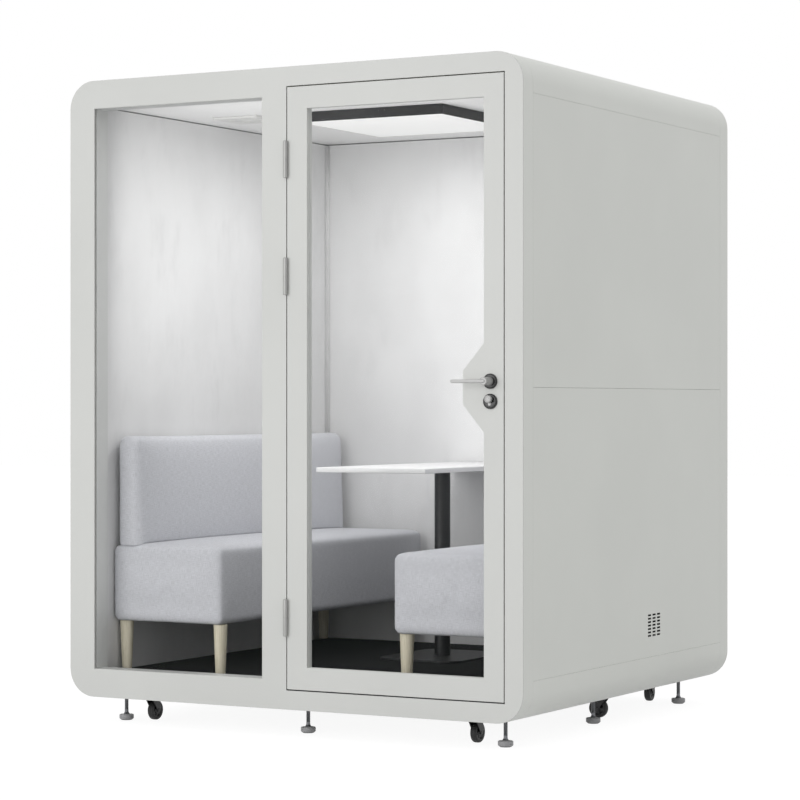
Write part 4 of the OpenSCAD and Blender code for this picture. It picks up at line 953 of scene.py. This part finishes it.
def fork_band(inner=13.2, thick=3.0, top=-11.0, bend=6.0, tip=-63.0):
    """A strip carried up one cheek, round a bend, across and down the other. Its front and rear edges
    follow the height, and its section is the strip's thickness along the path's normal."""
    outer = inner + thick
    arc = np.linspace(0, math.pi / 2, 7)
    y = np.concatenate([np.full(14, outer), outer - bend + bend * np.cos(arc),
                        np.linspace(outer - bend, 0, 3)[1:]])
    z = np.concatenate([tip + (top - bend - tip) * np.linspace(0, 1, 14) ** 1.3,
                        top - bend + bend * np.sin(arc), [top, top]])
    ny = np.concatenate([np.ones(14), np.cos(arc), [0, 0]])
    nz = np.concatenate([np.zeros(14), np.sin(arc), [1, 1]])
    heights = [-63, -62, -59, -55, -48, -41, -30, -20, -11]
    x0 = np.interp(z, heights, [21.5, 18, 15, 13.9, 9, 4, -4, -11, -18])
    x1 = np.interp(z, heights, [22.5, 26, 29, 30.1, 35, 39.5, 33.8, 28.6, 23.4])
    side_strip = np.stack([np.stack([x, y - t * ny, z - t * nz], -1)
                           for x, t in ((x0, 0), (x1, 0), (x1, thick), (x0, thick))], 1)
    other = side_strip[::-1] * [1, -1, 1]
    strip = np.concatenate([side_strip, other[1:]])
    ends = strip.mean(axis=1, keepdims=True)[[0, -1]] + 0 * strip[[0, -1]]
    return np.concatenate([ends[:1], strip, ends[1:]])


def wheel_rings():
    """Tyre and hub as rings round the axle. The hub's faces have five shallow hollows between its two
    rims, from a power of a raised cosine of the angle."""
    tyre = [(26.5, -10.6), (29, -11.6), (32.2, -11.2), (34.2, -8.8), (35, -4.5), (35, 4.5), (34.2, 8.8),
            (32.2, 11.2), (29, 11.6), (26.5, 10.6), (26.5, -10.6)]
    angle = np.linspace(0, 2 * math.pi, 60, endpoint=False)
    radius = np.array([4.1, 4.1, 8.5, 9.5, 12, 19, 23, 24.5, 26.8])
    face = np.array([0, 12, 12, 11, 9.5, 9.5, 10.2, 10.8, 10.8])
    sunk = np.array([0, 0, 0, 0, 1, 1, 0.4, 0, 0])[:, None] * 3.5
    height = face[:, None] - sunk * (0.5 + 0.5 * np.cos(5 * angle)) ** 0.6
    both_r = np.concatenate([radius, radius[::-1]])[:, None]
    both_h = np.concatenate([height, -height[::-1]])
    hub = np.stack([both_r * np.cos(angle), both_r * np.sin(angle), both_h], -1)
    return [(turned(tyre, 60), 0), (hub, 1)]


tyre_rubber = rubber_finish("tyre_rubber", tone(16, 16, 17), 0.55)
hub_finish = moulded("hub_moulding", tone(24, 24, 26), 0.4)
head = [(0, -0.9), (24.5, -0.9), (26, -1.8), (26, -4.4), (24.6, -5.0), (24.6, -5.6), (25.6, -6.2),
        (25.6, -8.6), (23.5, -10.6), (16, -11.1), (0, -11.1)]
pin = [(0, 38), (6.4, 38), (7, 37.4), (7, -10), (0, -10)]
rivet = [(0, -17.6), (4.4, -17.6), (6.2, -16.9), (6.6, -15.8), (4, -15.8), (4, 15.8), (6.6, 15.8),
         (6.2, 16.9), (4.4, 17.6), (0, 17.6)]
upright = np.array([[1, 0, 0], [0, 0, 1], [0, 1, 0]])
axle_place = np.array([22.0, 0, -55.0])
for place, x, y, heading in (("front_left", 254, 145, 90), ("front_right", 1562, 145, 90),
                             ("rear_left", 254, 1605, -90), ("rear_right", 1562, 1605, -85),
                             ("mid_left", 173, 1000, 0), ("mid_right", 1643, 1000, 180)):
    fork_shells = [surface(turn_z(g, heading, (x, y)), True) for g in (
        turned(head, 48), turned(pin, 32), fork_band(), turned(rivet, 24) @ upright + axle_place)]
    fork = build("caster_fork_" + place, fork_shells, [black_coat], 40)
    rounding = fork.modifiers.new("eased_edges", "BEVEL")
    rounding.width, rounding.segments, rounding.limit_method = 0.0005, 2, "ANGLE"
    rounding.angle_limit, rounding.use_clamp_overlap = math.radians(50), True
    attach(fork, "caster_" + place)
    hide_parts("fork_" + place)
    wheel = build("caster_wheel_" + place, [
        (*surface(turn_z(g @ upright + axle_place, heading, (x, y)), True), n) for g, n in wheel_rings()],
        [tyre_rubber, hub_finish])
    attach(wheel, "roller_" + place)
    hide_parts("wheel_" + place)

# Levelling feet
# Zinc-plated threaded stems with a spanner flat, on round pads with a
# bevelled rim and a black sole.
zinc = Finish("zinc_plate")
spangle = zinc.noise(0.004, 5)
tarnish = zinc.noise(0.02, 3)
zinc_finish = zinc.coat(base_color=zinc.mix(spangle, tone(96, 97, 100), tone(128, 129, 132)), metallic=1.0,
                        roughness=tarnish * 0.2 + 0.28, normal=zinc.bump(spangle, 0.00004, 0.4))
pad_finish = moulded("pad_moulding", tone(168, 168, 170), 0.5)
pad = [(0, 1.2), (20.5, 1.2), (21.4, 1.6), (26, 6), (26, 10.4), (25.5, 10.9), (25.5, 11.5), (26, 12),
       (26, 17.4), (25.2, 19.2), (23.6, 20), (14, 19.6), (12.5, 20), (12.3, 21.4), (0, 21.4)]
sole = [(0, 1.6), (19.6, 1.6), (19.6, 0.3), (19, 0), (0, 0)]


def threaded_stem(low=20.5, high=143.0, pitch=2.0, radius=7.0, cut_depth=0.7):
    """Rows every sixth of a pitch up the stem. The radius falls by a triangle wave of height less the
    angle's share of the pitch, which makes a helix. Below the thread the cone's curve takes over, with
    two flats for a spanner."""
    angle = np.linspace(0, 2 * math.pi, 32, endpoint=False)[None, :]
    z = np.concatenate([[low, low], np.linspace(low, 38, 22)[1:], np.arange(38.2, 104, pitch / 6),
                        [110, high, high]])[:, None]
    phase = (z / pitch - angle / (2 * math.pi)) % 1
    thread_on = (z > 38.1) & (z < 104)
    plain_r = radius - cut_depth * np.where(thread_on, 1 - np.abs(2 * phase - 1), 0)
    cone = radius + 5.3 * np.clip((30 - z) / 9.5, 0, 1) ** 1.6
    flat_r = 5.6 / np.maximum(np.abs(np.cos(angle)), 1e-6)
    r = np.where(z < 30, cone, np.where((z > 31) & (z < 37), np.minimum(plain_r, flat_r), plain_r))
    r[0], r[-1] = 0, 0
    return np.stack([r * np.cos(angle), r * np.sin(angle), z + 0 * angle], -1)


for place in ("front_left", "front_mid", "front_right", "mid_left", "mid_right", "rear_left", "rear_mid",
              "rear_right"):
    low, high = box_of("foot_" + place)
    stand_point = [*(low + high)[:2] / 2, low[2]]
    foot_shells = []
    for g, number in ((turned(pad, 56), 1), (turned(sole, 56), 2), (threaded_stem(), 0)):
        p, q = surface(g / 1000 + stand_point, True)
        foot_shells.append((p, q, number))
    leveller = build("leveller_" + place, foot_shells, [zinc_finish, pad_finish, tyre_rubber])
    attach(leveller, "leveller_" + place)
    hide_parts("foot_" + place)

# Sizes
# The box of what is shown.
low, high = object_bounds()
